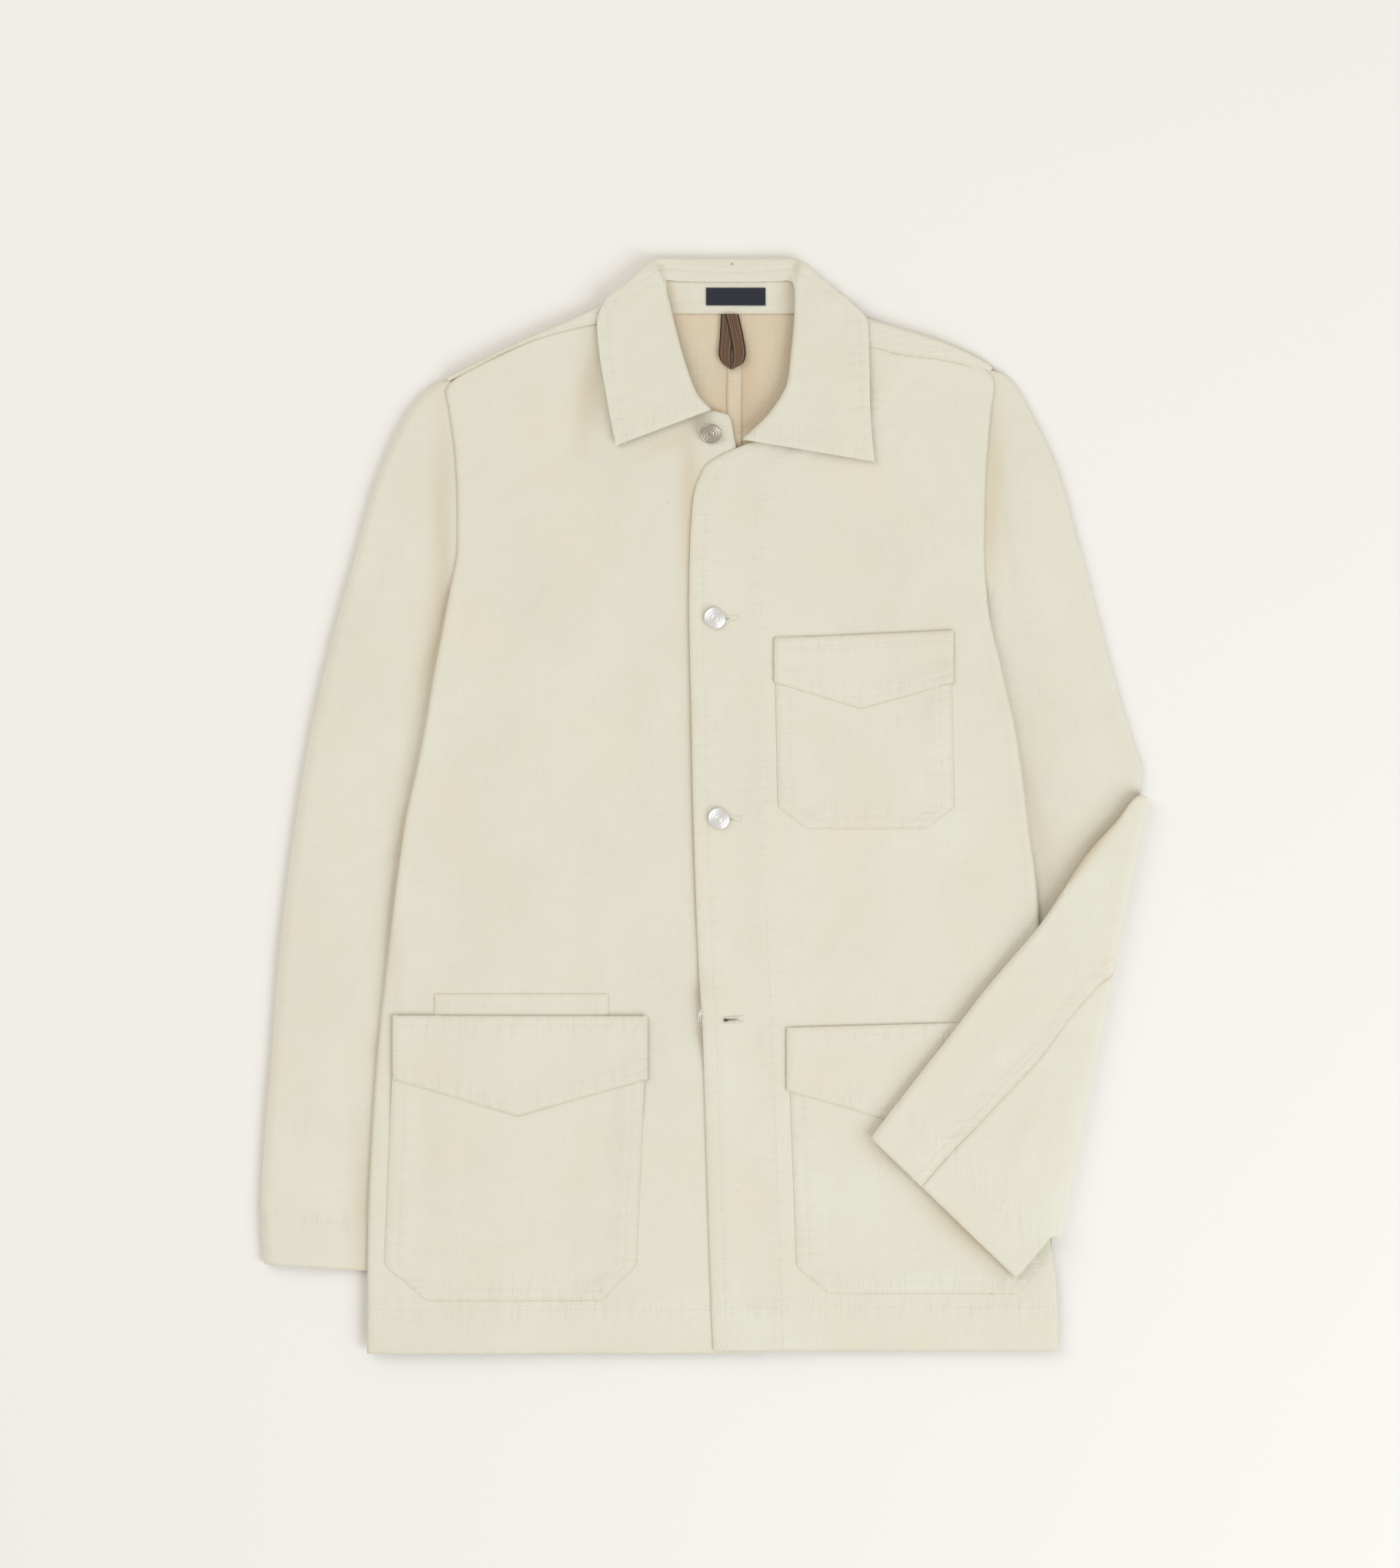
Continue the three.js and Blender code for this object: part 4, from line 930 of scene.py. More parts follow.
def ribbon_finish(graph):
    """Tan ribbon with dark brown edges, read across from the stripe attribute."""
    edge, warm, pale = (0.035, 0.018, 0.01), (0.13, 0.062, 0.03), (0.34, 0.2, 0.1)
    stripes = [(0.0, edge), (0.17, edge), (0.2, pale), (0.25, warm), (0.42, warm), (0.47, edge), (0.5, pale),
               (0.53, edge), (0.58, warm), (0.75, warm), (0.8, pale), (0.83, edge), (1.0, edge)]
    ribs = graph.streaks(graph.place(), (300, 1800, 300), 1.0)
    return {"Base Color": graph.ramp(graph.attribute("across"), stripes), "Roughness": 0.7,
            "Normal": graph.bump(ribs, 0.5, 0.0002)}


def steel_finish(graph, colour):
    place = graph.place()
    rough = graph.math("MULTIPLY_ADD", graph.noise(place, 300, 3.0), 0.2, 0.3)
    return {"Base Color": (*colour, 1), "Metallic": 1.0, "Roughness": rough,
            "Normal": graph.bump(graph.noise(place, 900), 0.15, 0.0001)}


def plain_finish(graph, colour):
    return {"Base Color": (*colour, 1), "Roughness": 0.95}


# Each finish: the material's name, the function that describes it, and its colours
FINISHES = {
    "canvas": ("Undyed canvas", canvas_finish, lambda c: (tuple(c.canvas), tuple(c.canvas_slub))),
    "inside": ("Canvas, inner face", canvas_finish,
               lambda c: (tuple(c.inside), shade(c.inside, 0.86, 0.86, 0.86))),
    "thread": ("Cotton thread", thread_finish, lambda c: (tuple(c.thread),)),
    "ribbon": ("Striped ribbon", ribbon_finish, lambda c: ()),
    "label": ("Navy woven label", label_finish, lambda c: ()),
    "steel": ("Satin steel", steel_finish, lambda c: ((0.9, 0.89, 0.88),)),
    # Darker, warmer copy of the steel for the tilted neck button: painted shade and painted reflection of the
    # warm cloth
    "shaded steel": ("Steel with painted shade and reflection", steel_finish, lambda c: ((0.5, 0.45, 0.37),)),
    "slit": ("Buttonhole shadow", plain_finish, lambda c: ((0.11, 0.06, 0.035),)),
    "floor": ("Pale floor", plain_finish, lambda c: ((0.87, 0.855, 0.825),)),
}
MATERIALS = {}


def finish_named(key):
    if key not in MATERIALS:
        name, describe, colours = FINISHES[key]
        material = MATERIALS[key] = bpy.data.materials.new(name)
        material.use_nodes = True
        material.node_tree.nodes.clear()
        graph = Graph(material.node_tree)
        inputs = describe(graph, *colours(bpy.context.scene.jacket_colours))
        shader = graph.add("ShaderNodeBsdfPrincipled", inputs)
        graph.add("ShaderNodeOutputMaterial", {"Surface": shader["BSDF"]})
    return MATERIALS[key]


# Each piece in place of its solids, and its cut

CUTS = {}


def cut_of(middles):
    """Width, length and area of flat cloth, measured over one or more middle grids, in metres."""
    width = length = area = 0.0
    for p in middles:
        along = np.linalg.norm(np.diff(p, axis=0), axis=-1).sum(axis=0).max()
        across = np.linalg.norm(np.diff(p, axis=1), axis=-1).sum(axis=1).max()
        a, b = p[1:, 1:] - p[:-1, :-1], p[1:, :-1] - p[:-1, 1:]
        area += np.linalg.norm(np.cross(a, b), axis=-1).sum() / 2
        width, length = max(width, across), length + along
    return width * MM, length * MM, area * MM * MM


def dress(name, nodes, parts, middles, held, rests_on, slot="canvas", faces=("canvas", "inside")):
    """The finished cloth piece: its mesh and finish in place of its solids, which are hidden, and its cut."""
    piece = mesh_object(name, parts, [finish_named(face) for face in faces])
    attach(piece, "root")
    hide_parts(*nodes)
    width, length, area = cut_of(middles)
    CUTS[name] = (round(width, 3), round(length, 3), round(area, 4))


# Settings

class JacketColours(bpy.types.PropertyGroup):
    canvas: bpy.props.FloatVectorProperty(
        name="Canvas", description="Lighter threads of the undyed canvas", subtype="COLOR",
        size=3, min=0, max=1, default=(0.768, 0.749, 0.64))
    canvas_slub: bpy.props.FloatVectorProperty(
        name="Canvas slub", description="Darker threads of the undyed canvas", subtype="COLOR",
        size=3, min=0, max=1, default=(0.714, 0.688, 0.57))
    inside: bpy.props.FloatVectorProperty(
        name="Inner face", description="Warmer inner face of the canvas", subtype="COLOR",
        size=3, min=0, max=1, default=(0.74, 0.635, 0.475))
    thread: bpy.props.FloatVectorProperty(
        name="Thread", description="Cotton sewing thread", subtype="COLOR",
        size=3, min=0, max=1, default=(0.88, 0.85, 0.75))


class JacketSizes(bpy.types.PropertyGroup):
    stitch_spacing: bpy.props.FloatProperty(
        name="Stitch spacing", description="From one topstitch to the next", unit="LENGTH",
        default=0.0029, min=0.001, max=0.01)
    stitch_length: bpy.props.FloatProperty(
        name="Stitch length", description="Length of thread that shows in each topstitch", unit="LENGTH",
        default=0.0024, min=0.0005, max=0.01)
    thread_width: bpy.props.FloatProperty(
        name="Thread width", description="Thickness of the topstitching thread", unit="LENGTH",
        default=0.00065, min=0.0002, max=0.002)
    thread_height: bpy.props.FloatProperty(
        name="Thread height", description="How far a stitch stands over the cloth", unit="LENGTH",
        default=0.0006, min=0.0001, max=0.002)
    buttonhole_spacing: bpy.props.FloatProperty(
        name="Buttonhole spacing", description="From one buttonhole stitch to the next", unit="LENGTH",
        default=0.00062, min=0.0003, max=0.003)
    buttonhole_bar: bpy.props.FloatProperty(
        name="Buttonhole bar", description="Width of each row of stitches along a slit", unit="LENGTH",
        default=0.0022, min=0.0005, max=0.005)


def topstitch(context, name, lines):
    sizes = context.scene.jacket_sizes
    sew(name, lines, sizes.stitch_spacing, sizes.stitch_length, sizes.thread_width, sizes.thread_height)


# Creases of each piece: x, y, angle, length, width and rise
FRONT_CREASES = [
    (-150, 175, 128, 44, 14, -1.2), (-118, 130, 122, 50, 12, 1.1), (-75, 60, 118, 46, 13, -0.9),
    (-170, 30, 12, 40, 12, 0.9), (-120, -30, 16, 46, 12, -0.9), (-70, -70, 22, 44, 11, 0.8),
    (-175, -120, 10, 34, 9, -0.8), (-60, 130, 100, 52, 13, -0.8), (170, 60, 66, 40, 12, 0.9),
    (200, 110, 60, 34, 10, -0.9), (100, -20, 14, 50, 12, 0.9), (180, -40, 164, 40, 11, -0.9),
    (60, 20, 98, 60, 12, 0.8), (-60, -385, 172, 34, 6, -0.5), (80, -380, 10, 34, 6, -0.5),
    (-83, 306, 95, 32, 8, -3.38), (-120, 285, 118, 34, 9, 1.35), (-60, 225, 80, 40, 11, 1.12),
    (-150, 120, 62, 40, 12, -1.12), (-165, -60, 96, 60, 13, 1.35), (-95, -110, 84, 55, 15, -1.12),
    (-40, 60, 92, 70, 12, 0.9), (-210, -250, 92, 60, 9, -1.12), (60, 165, 100, 46, 12, -1.12),
    (150, 160, 70, 34, 10, 1.12), (185, 250, 110, 40, 9, 1.35), (40, -60, 88, 80, 12, 0.9),
    (90, -90, 64, 38, 10, -1.12), (-20, -360, 8, 50, 9, 0.9), (-130, -388, 4, 60, 7, 0.68),
    (150, -386, -5, 55, 7, 0.68), (205, -110, 112, 40, 11, 1.12), (-130, 250, 30, 30, 8, -0.9),
]
# The left front also has a ridge along its overlap
LEFT_CREASES = FRONT_CREASES + [(-10, 40, 91, 260, 7, 1.1)]
SLEEVE_CREASES = {
    "right": [
        (-214, 60, 76, 80, 8, -1.3), (-230, -70, 80, 70, 8, -1.1),
        (-200, 205, 97, 55, 6, -1.2), (-232, 170, 62, 30, 9, 1.05), (-215, 95, 48, 28, 8, -1.05),
        (-262, 60, 60, 36, 10, 0.9), (-205, 10, 30, 26, 9, 0.9), (-240, -40, 20, 34, 9, -0.9),
        (-285, -90, 78, 42, 9, 0.75), (-200, -120, 12, 26, 9, 0.9), (-245, -180, -14, 36, 10, -0.75),
        (-290, -230, 84, 40, 8, 0.75), (-215, -270, 8, 34, 8, 0.75),
    ],
    "left": [
        (228, 80, 108, 60, 8, -1.3), (243, -5, 100, 50, 8, -1.3),
        (217, 225, 97, 60, 6, -1.2), (245, 160, 118, 34, 9, 1.05), (235, 90, 130, 26, 9, -1.05),
        (280, 60, 110, 34, 9, 0.9), (265, -60, 40, 30, 9, 0.9), (225, -170, 46, 44, 9, 0.9),
        (190, -230, 50, 40, 10, -0.75), (235, -250, 70, 40, 8, 0.75), (160, -250, 44, 26, 8, 0.75),
    ],
}
STAND_CREASES = [(-18, 378, 80, 9, 3, -0.7), (-10, 380, 95, 8, 3, 0.5), (53, 378, 100, 9, 3, -0.7),
                 (46, 379, 84, 8, 3, 0.5)]
COLLAR_CREASES = [
    (-32, 396, 100, 13, 1.7, -1.7), (67, 397, 82, 13, 1.7, -1.7), (-37, 394, 104, 12, 3.5, 0.7),
    (72, 392, 76, 12, 3.5, 0.7), (-12, 396, 70, 8, 3, -0.6), (45, 397, 112, 8, 3, -0.6),
    (-60, 340, 60, 18, 6, -0.5), (-50, 372, 40, 14, 5, 0.5), (100, 345, 118, 20, 6, -0.5),
    (88, 372, 140, 14, 5, 0.5), (95, 290, 70, 18, 7, 0.4), (-45, 300, 120, 16, 6, 0.4),
]
# Painted warm shade where one cloth stands over the next, as x, y, angle, length, width and strength
RIGHT_PAINTED_SHADES = [(-11, 222, 90, 60, 8, 0.9), (-9, 0, 92, 150, 4, 0.5), (-87, 305, 84, 40, 10, 0.8),
               (-30, 268, 20, 22, 7, 0.5), (-231, -110, 90, 40, 7, 0.4)]
LEFT_PAINTED_SHADES = [(190, -316, -43, 46, 7, 0.8), (128, -258, -43, 20, 5, 0.6)]
SLEEVE_PAINTED_SHADES = [(212, 232, 88, 78, 8, 0.9), (244, -5, 100, 55, 6, 0.5), (283, -36, 51, 46, 4, 0.9),
                (-196, 215, 88, 70, 8, 0.6), (-204, 110, 80, 60, 9, 0.6), (-232, -60, 83, 80, 7, 0.4),
                (-254, -300, 90, 70, 8, 0.6)]
STAND_PAINTED_SHADES = [(-26, 381, 100, 18, 5, 0.8), (60, 380, 80, 18, 5, 0.8)]
BACK_PAINTED_SHADES = [(25, 310, 84, 36, 12, 0.9), (-30, 330, 100, 30, 8, 0.5)]
POCKET_CREASES = [(-150, -335, 6, 40, 7, 0.6), (-150, -322, 4, 34, 6, -0.5), (-90, -300, 60, 20, 8, 0.4),
                  (160, -345, 2, 42, 7, 0.6), (130, -250, 80, 30, 10, 0.4), (115, 40, 75, 26, 12, 0.4),
                  (-190, -260, 95, 34, 10, 0.4), (210, -280, 100, 30, 9, 0.4)]


def right_pocket_layers(y):
    return 1 + smooth(-245, -212, y)


PATCHES = [
    ("pocket_chest", [-17, -8, 0, 30, 60, 90, 118, 125.5], CHEST_LEFT, CHEST_RIGHT, front_left_height,
     lambda y: 1, "front_left"),
    ("pocket_hip_right", [-366, -352, -338, -310, -280, -250, -230, -212, -190, -158], HIP_RIGHT_LEFT,
     HIP_RIGHT_RIGHT, front_right_height, right_pocket_layers, "front_right"),
    ("pocket_tool_right", [-204, -185, -160, -139], lambda y: -200.5, lambda y: -71.5, front_right_height,
     lambda y: 1, "front_right"),
    ("pocket_hip_left", [-361, -350, -340, -310, -270, -230, -200, -166], HIP_LEFT_LEFT, HIP_LEFT_RIGHT,
     front_left_height, lambda y: 1, "front_left"),
]
FACINGS = [
    ("pocket_chest_facing", 50.8, 183.5, (123.5, 129.5), 91, (115, 71.7), front_left_height, 2),
    ("pocket_hip_right_facing", -231, -42.7, (-155, -155.5), -202, (-139, -229), front_right_height, 3),
    ("pocket_hip_left_facing", 60, 239.5, (-164, -159), -210.5, (151, -237), front_left_height, 2),
]


def lay(name, node, lines, sheets, held, rests_on, **look):
    """One cloth piece over a solid, from its sheets: each a grid and its cloth_part settings."""
    parts = []
    middles = [cloth_part(grid, parts, lines, **settings) for grid, settings in sheets]
    dress(name, [node], parts, middles, held, rests_on, **look)


class JACKET_OT_back(bpy.types.Operator):
    """Lay the two back panels and the felled seam down the centre back"""
    bl_idname = "jacket.back"
    bl_label = "Back"

    def execute(self, context):
        lines = []
        body = dict(step=6, painted_shades=BACK_PAINTED_SHADES, upper=1, lower=0, rows=[("start", 30, 0, 1)],
                    hems=[("start", 32)])
        yoke = dict(step=4, rows=[("far", 2.2, 0.02, 0.98), ("far", 8.5, 0.02, 0.98)])
        for side, node in (("left", "back_right"), ("right", "back_left")):
            sheets = [(back_grid(side), body), (shoulder_grid(side), yoke)]
            lay(node + "_cloth", node, lines, sheets, "laid", [])
        strip = dict(step=6, edge_step=2, edge_width=4, upper=1,
                     rows=[("near", 1.6, 0, 1), ("far", 1.6, 0, 1)])
        lay("centre_back_seam", "back_seam_strip", lines, [(seam_strip_grid(), strip)], "laid",
            ["back_left", "back_right"])
        topstitch(context, "back_stitches", lines)
        return {"FINISHED"}


class JACKET_OT_fronts(bpy.types.Operator):
    """Lay the two fronts, left over right, with hems, facings and seam topstitching"""
    bl_idname = "jacket.fronts"
    bl_label = "Fronts"

    def execute(self, context):
        lines = []
        rows = [("start", 32, 0, 1), ("far", 10, 0, 1)]
        right = dict(step=4.5, painted_shades=RIGHT_PAINTED_SHADES, folds=FRONT_CREASES, rows=rows, hems=[("start", 34)])
        left = dict(right, painted_shades=LEFT_PAINTED_SHADES, folds=LEFT_CREASES, rows=rows + [("far", 52, 0, 0.42)])
        lay("front_right_cloth", "front_right", lines, [(front_right_grid(), right)], "laid",
            ["back_right", "sleeve_right_top"])
        lay("front_left_cloth", "front_left", lines, [(front_left_grid(), left)], "laid",
            ["front_right", "back_left"])
        topstitch(context, "front_stitches", lines)
        return {"FINISHED"}


class JACKET_OT_sleeves(bpy.types.Operator):
    """Lay the two-piece sleeves, one straight and one folded over the front"""
    bl_idname = "jacket.sleeves"
    bl_label = "Sleeves"

    def execute(self, context):
        lines = []
        cuff = ("end", 34, 0, 1)
        faces = {"top": dict(rows=[cuff, ("near", 2.2, 0.04, 1), ("near", 8.0, 0.04, 1)], outward=1),
                 "under": dict(rows=[cuff], outward=-1)}
        for side, grid, step, held in (("right", sleeve_right_grid, 4, "laid"),
                                       ("left", sleeve_left_grid, 2.2, "folded")):
            for piece, face in faces.items():
                settings = dict(face, step=step, hems=[("end", 36)], painted_shades=SLEEVE_PAINTED_SHADES,
                                folds=SLEEVE_CREASES[side])
                node = f"sleeve_{side}_{piece}"
                lay(node + "_cloth", node, lines, [(grid(piece), settings)], held, [])
        topstitch(context, "sleeve_stitches", lines)
        return {"FINISHED"}


class JACKET_OT_collar(bpy.types.Operator):
    """Lay the collar stand and the turned-down collar fall"""
    bl_idname = "jacket.collar"
    bl_label = "Collar"

    def execute(self, context):
        lines = []
        stand = dict(step=1.6, edge_step=1, edge_width=6, painted_shades=STAND_PAINTED_SHADES, folds=STAND_CREASES,
                     rows=[("near", 2, 0, 1), ("far", 2, 0, 1)])
        lay("collar_stand_cloth", "collar_stand", lines, [(stand_grid(), stand)], "laid",
            ["front_right", "back_left"], faces=("canvas", "canvas"))
        fall = dict(step=1.6, edge_width=10, folds=COLLAR_CREASES, puckers=(),
                    rows=[("far", 7, 0, 0.4), ("far", 7, 0.6, 1), ("start", 7, 0.1, 0.95),
                          ("end", 7, 0.1, 0.95)])
        roll = dict(step=3, puckers=())
        lay("collar_fall_cloth", "collar_fall", lines, [(fall_grid(), fall), (roll_grid(), roll)], "folded",
            ["front_right", "front_left"])
        topstitch(context, "collar_stitches", lines)
        return {"FINISHED"}


class JACKET_OT_pockets(bpy.types.Operator):
    """Lay the patch pockets with their pointed facings, topstitched in two rows"""
    bl_idname = "jacket.pockets"
    bl_label = "Pockets"

    def execute(self, context):
        lines = []
        cloth = dict(step=4, edge_step=1.0, thick=THIN, folds=FRONT_CREASES + POCKET_CREASES)
        double = [("start", 2.2, 0.02, 0.98), ("start", 9.5, 0.07, 0.93)]
        double += [(end, d, begin, 1) for end in ("near", "far") for d, begin in ((2.2, 0.012), (9.5, 0.05))]
        single = [("far", 10, 0, 1), ("near", 10, 0, 1)]
        for name, *shape, on in PATCHES:
            patch = dict(cloth, painted_shades=LEFT_PAINTED_SHADES, rows=single if name == "pocket_tool_right" else double)
            lay(name + "_cloth", name, lines, [(patch_grid(*shape), patch)], "laid", [on])
        facing = dict(cloth, rows=[("end", 7, 0.02, 0.98), ("start", 7, 0.02, 0.98), ("near", 2.2, 0, 1),
                                   ("far", 2.2, 0, 1)])
        for name, *shape in FACINGS:
            lay(name + "_cloth", name, lines, [(facing_grid(*shape), facing)], "laid",
                [name.replace("_facing", "")])
        topstitch(context, "pocket_stitches", lines)
        return {"FINISHED"}


# The hanger loop's two legs: rows of left x, right x and y, and the height of each
RIBBON_LEGS = [
    ([(11.5, 21.8, 363.3), (10.7, 20.6, 348), (9.8, 19, 334), (12, 18.8, 328), (18.4, 19.6, 323)], 4.7),
    ([(14.4, 24.7, 363.3), (18.2, 28, 348), (20.2, 30, 334), (19.8, 28.4, 328), (18.6, 20, 322.8)], 5.4),
]
RIBBON_THICK = 0.6
RIBBON_ARCH = 0.35
LABEL_THICK = 0.5
LABEL_HEIGHT = 4.75


def ribbon_part(rows, height, parts):
    """One leg of the hanger loop, from the seam to the folded point."""
    rows = np.array(rows, float)
    t = np.linspace(0, 1, 13)[None, :]
    grid = points(rows[:, :1] + (rows[:, 1:2] - rows[:, :1]) * t, rows[:, 2:3])
    grid[..., 2] = height + RIBBON_ARCH * np.sin(np.pi * t)
    fine = finer(finer(grid, 0, 1.5, 1, 3), 1, 1, 0.6, 2)
    across = np.broadcast_to(np.linspace(0, 1, fine.shape[1]), fine.shape[:2])
    if normals(fine)[2, 2, 2] < 0:
        fine, across = fine[:, ::-1], across[:, ::-1]
    closed_mesh(fine, RIBBON_THICK, {"across": across}, parts, lower=0)
    return fine


class JACKET_OT_trims(bpy.types.Operator):
    """Fold the ribbon hanger loop and lay the woven label on the stand"""
    bl_idname = "jacket.trims"
    bl_label = "Loop and label"

    def execute(self, context):
        parts = []
        legs = [ribbon_part(rows, height, parts) for rows, height in RIBBON_LEGS]
        dress("hanger_loop_cloth", ["hanger_loop"], parts, legs, "folded", ["back_seam_strip"], slot="ribbon",
              faces=("ribbon",))
        grid = points(np.linspace(0.5, 44.5, 23)[None, :], np.linspace(370, 383, 9)[:, None])
        grid[..., 2] = LABEL_HEIGHT
        lay("label_cloth", "label", [], [(grid, dict(step=1, thick=LABEL_THICK, puckers=()))], "laid",
            ["collar_stand"], slot="label", faces=("label", "label"))
        return {"FINISHED"}


# Profile of a tack button from its shank up over the rolled rim to the centre: radius, height
BUTTON_PROFILE = [
    (0, 0), (3.5, 0), (6.6, 0.1), (7.7, 0.5), (8.05, 1.1), (8.0, 1.7), (7.7, 2.15), (7.25, 2.35), (6.95, 2.3),
    (6.75, 2.05), (6.5, 2.0), (6.3, 2.15), (5.9, 2.3), (5.2, 2.32), (4.95, 2.2), (4.7, 2.18), (4.5, 2.3),
    (3.9, 2.36), (3.0, 2.37), (2.75, 2.28), (2.5, 2.27), (2.3, 2.36), (1.2, 2.44), (0, 2.46),
]
BUTTON_MIDDLE = 1.4
NECK_BUTTON, NECK_TILT = "button_1", 32
FASTENED = ("button_2", "button_3")


def turned(name, profile, turns=64):
    """A closed solid turned round Z from a profile of radius and height in millimetres."""
    bm = bmesh.new()
    circle = np.linspace(0, 2 * np.pi, turns, endpoint=False)
    rings = [[bm.verts.new((radius * MM * np.cos(a), radius * MM * np.sin(a), height * MM))
              for a in (circle if radius else [0])] for radius, height in profile]
    for low, high in zip(rings, rings[1:]):
        for i in range(turns):
            j = (i + 1) % turns
            if len(low) == 1:
                bm.faces.new((low[0], high[j], high[i]))
            elif len(high) == 1:
                bm.faces.new((low[i], low[j], high[0]))
            else:
                bm.faces.new((low[i], low[j], high[j], high[i]))
    bmesh.ops.recalc_face_normals(bm, faces=bm.faces)
    mesh = bpy.data.meshes.new(name)
    bm.to_mesh(mesh)
    bm.free()
    mesh.shade_smooth()
    return new_object(name, mesh)


def tack_button(node):
    piece = turned(node + "_steel", BUTTON_PROFILE)
    low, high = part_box(node)
    centre = Vector([(a + b) / 2 for a, b in zip(low, high)])
    if node in FASTENED:
        at = np.array(centre) / MM - SHIFT
        centre.z += float(dressed_height(at[0], at[1]) - front_left_height(at[0], at[1])) * MM
    at_neck = node == NECK_BUTTON
    place = Matrix.Translation(centre) @ Matrix.Rotation(np.radians(NECK_TILT if at_neck else 0), 4, "X")
    piece.data.transform(place @ Matrix.Translation((0, 0, -BUTTON_MIDDLE * MM)))
    # The neck button takes the darker steel copy: painted shade and reflection
    piece.data.materials.append(finish_named("shaded steel" if at_neck else "steel"))
    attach(piece, "root")
    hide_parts(node)


class JACKET_OT_buttons(bpy.types.Operator):
    """Set the tack buttons, with a rolled rim and rings"""
    bl_idname = "jacket.buttons"
    bl_label = "Buttons"

    def execute(self, context):
        for index in range(1, 5):
            tack_button(f"button_{index}")
        return {"FINISHED"}


# Start and end of each buttonhole, and where its open slit ends
BUTTONHOLES = [
    ((12.7, -158.3), (34.5, -157.1), 24.5), ((4, -10.4), (27, -9.6), 21), ((1, 137.8), (25, 138.6), 18),
]
# How far the thread, the bars across the ends and the slit's shadow stand over the cloth
THREAD_OVER, BAR_OVER, SLIT_OVER = 0.02, 0.05, 0.08
SLIT_THICK = 0.06


def dressed_height(x, y):
    """Middle of the left front's cloth with its creases."""
    return front_left_height(x, y) + relief(points(x, y), LEFT_CREASES)


def on_front(p, over):
    """Flat points set over the left front's cloth."""
    return raised(p[..., 0], p[..., 1], dressed_height, WALL / 2 + over)


def buttonhole_lines(a, b):
    """Two rows of thread close beside a slit, and a bar across each end."""
    along = (b - a) / np.linalg.norm(b - a)
    side = np.array([-along[1], along[0]])
    beside = a + np.outer(np.linspace(0, 1, 16), b - a)
    bar = np.outer(np.linspace(-1, 1, 4), side * 1.6)
    return [on_front(beside + side * offset, THREAD_OVER) for offset in (-1.75, 1.75)] + [
        on_front(end + bar, BAR_OVER) for end in (a, b)]


class JACKET_OT_buttonholes(bpy.types.Operator):
    """Cut and bind the buttonholes in the left front"""
    bl_idname = "jacket.buttonholes"
    bl_label = "Buttonholes"

    def execute(self, context):
        lines = []
        parts = []
        for start, end, opened in BUTTONHOLES:
            a, b = np.array(start), np.array(end)
            lines += buttonhole_lines(a, b)
            b = a + (b - a) * (opened - a[0]) / (b - a)[0]
            t = np.linspace(0, 1, 30)[:, None, None]
            side = np.array([-(b - a)[1], (b - a)[0]]) / np.linalg.norm(b - a)
            half = 0.1 + 0.45 * (1 - t) + 1.3 * np.exp(-((t * (opened - a[0]) - 1.6) / 1.4) ** 2)
            grid = on_front(a + t * (b - a) + np.linspace(-1, 1, 5)[None, :, None] * half * side, SLIT_OVER)
            if normals(grid)[3, 1, 2] < 0:
                grid = grid[:, ::-1]
            closed_mesh(grid, SLIT_THICK, {}, parts, lower=0)
        slits = mesh_object("buttonhole_slits", parts, [finish_named("slit")])
        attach(slits, "root")
        sizes = context.scene.jacket_sizes
        sew("buttonhole_stitches", lines, sizes.buttonhole_spacing, sizes.buttonhole_spacing,
            sizes.buttonhole_bar, sizes.thread_height)
        return {"FINISHED"}


# The photo's frame: its centre in millimetres, its height at the floor and the camera's height in metres
PHOTO_CENTRE = (-4, 16)
PHOTO_HEIGHT = 1.1617
CAMERA_HEIGHT = 3.0
SENSOR = 24
FLOOR_HALF = 4
FLOOR_LEVEL = -0.0012


def area_light(name, place, side, power, colour):
    data = bpy.data.lights.new(name, "AREA")
    data.shape = "RECTANGLE"
    data.size = data.size_y = side
    data.energy = power
    data.color = colour
    light = new_object(name, data)
    light.location = place
    light.rotation_euler = (-Vector(place)).to_track_quat("-Z", "Y").to_euler()
    return light


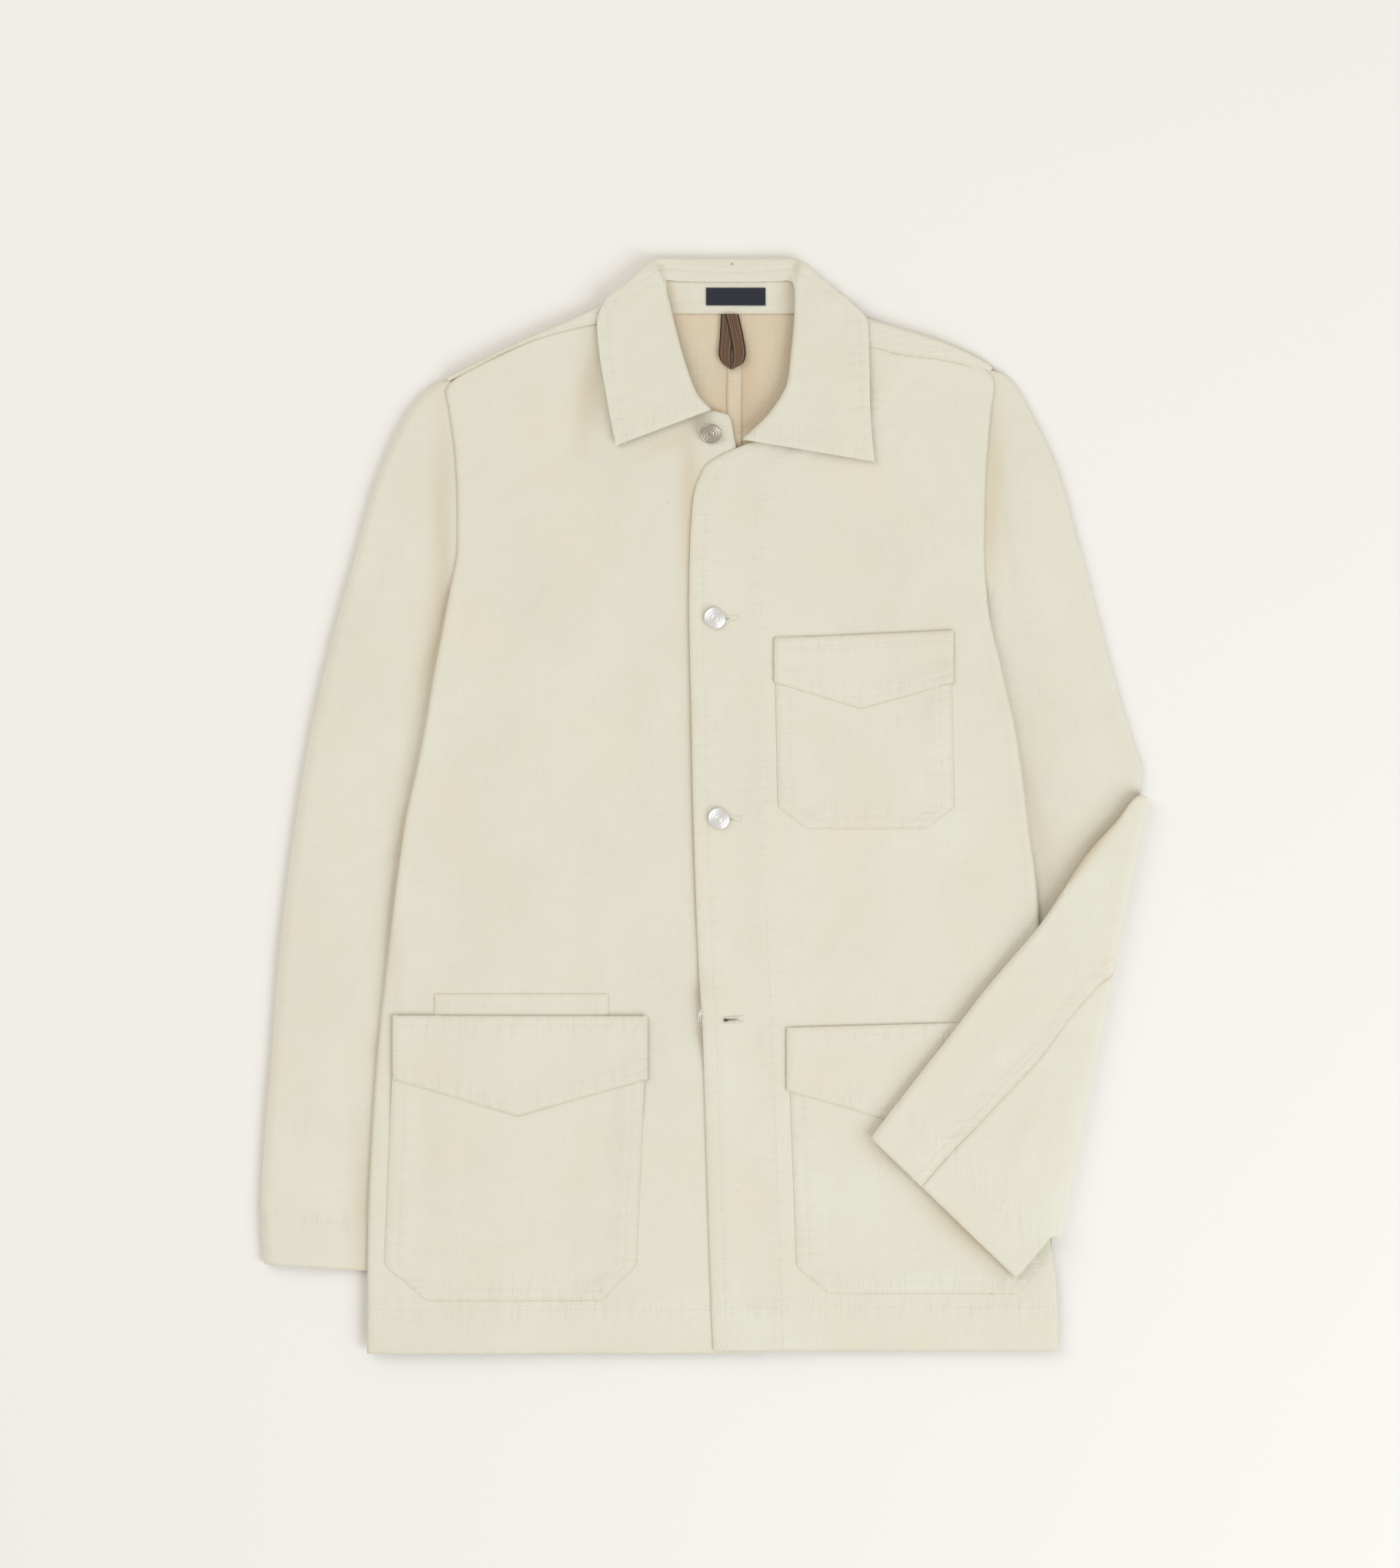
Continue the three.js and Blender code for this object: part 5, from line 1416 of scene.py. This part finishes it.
class JACKET_OT_stage(bpy.types.Operator):
    """Pale floor, soft studio light and a camera straight above"""
    bl_idname = "jacket.stage"
    bl_label = "Stage"

    def execute(self, context):
        scene = context.scene
        mesh = bpy.data.meshes.new("floor")
        corners = [(x * FLOOR_HALF, y * FLOOR_HALF, FLOOR_LEVEL)
                   for x, y in ((-1, -1), (1, -1), (1, 1), (-1, 1))]
        mesh.from_pydata(corners, [], [(0, 1, 2, 3)])
        mesh.materials.append(finish_named("floor"))
        floor = new_object("floor", mesh)
        key = area_light("key", (2.3, -1.7, 2.3), 2.4, 71, (0.86, 0.94, 1.0))
        fill = area_light("fill", (-2.2, 1.8, 2.6), 3.0, 42, (1.0, 0.99, 0.98))
        world = scene.world = scene.world or bpy.data.worlds.new("Studio")
        world.use_nodes = True
        sky = world.node_tree.nodes["Background"]
        sky.inputs["Color"].default_value = (1, 0.955, 0.895, 1)
        sky.inputs["Strength"].default_value = 0.615
        lens = bpy.data.cameras.new("overhead")
        lens.sensor_fit = "VERTICAL"
        lens.sensor_height = SENSOR
        lens.lens = SENSOR * CAMERA_HEIGHT / PHOTO_HEIGHT
        camera = new_object("overhead", lens)
        camera.location = (*((c + s) * MM for c, s in zip(PHOTO_CENTRE, SHIFT)), CAMERA_HEIGHT)
        scene.camera = camera
        scene.view_settings.view_transform = "Standard"
        return {"FINISHED"}


OPERATORS = (
    JACKET_OT_back, JACKET_OT_fronts, JACKET_OT_sleeves, JACKET_OT_collar, JACKET_OT_pockets, JACKET_OT_trims,
    JACKET_OT_buttons, JACKET_OT_buttonholes, JACKET_OT_stage,
)


class JACKET_PT_pieces(bpy.types.Panel):
    """Steps and settings of the chore jacket"""
    bl_label = "Chore jacket"
    bl_idname = "JACKET_PT_pieces"
    bl_space_type = "VIEW_3D"
    bl_region_type = "UI"
    bl_category = "Jacket"

    def draw(self, context):
        for group in (context.scene.jacket_colours, context.scene.jacket_sizes):
            for name in group.__annotations__:
                self.layout.prop(group, name)
        for step in OPERATORS:
            self.layout.operator(step.bl_idname)


CLASSES = (JacketColours, JacketSizes, *OPERATORS, JACKET_PT_pieces)


def register():
    for cls in CLASSES:
        bpy.utils.register_class(cls)
    bpy.types.Scene.jacket_colours = bpy.props.PointerProperty(type=JacketColours)
    bpy.types.Scene.jacket_sizes = bpy.props.PointerProperty(type=JacketSizes)


def unregister():
    del bpy.types.Scene.jacket_colours
    del bpy.types.Scene.jacket_sizes
    for cls in reversed(CLASSES):
        bpy.utils.unregister_class(cls)


def main():
    register()
    jacket = bpy.ops.jacket
    for step in (jacket.back, jacket.fronts, jacket.sleeves, jacket.collar, jacket.pockets, jacket.trims,
                 jacket.buttons, jacket.buttonholes, jacket.stage):
        step()
    for name, (width, length, area) in CUTS.items():
        print(f"cut {name}: {width} x {length} m, {area} m2")


if __name__ == "__main__":
    main()
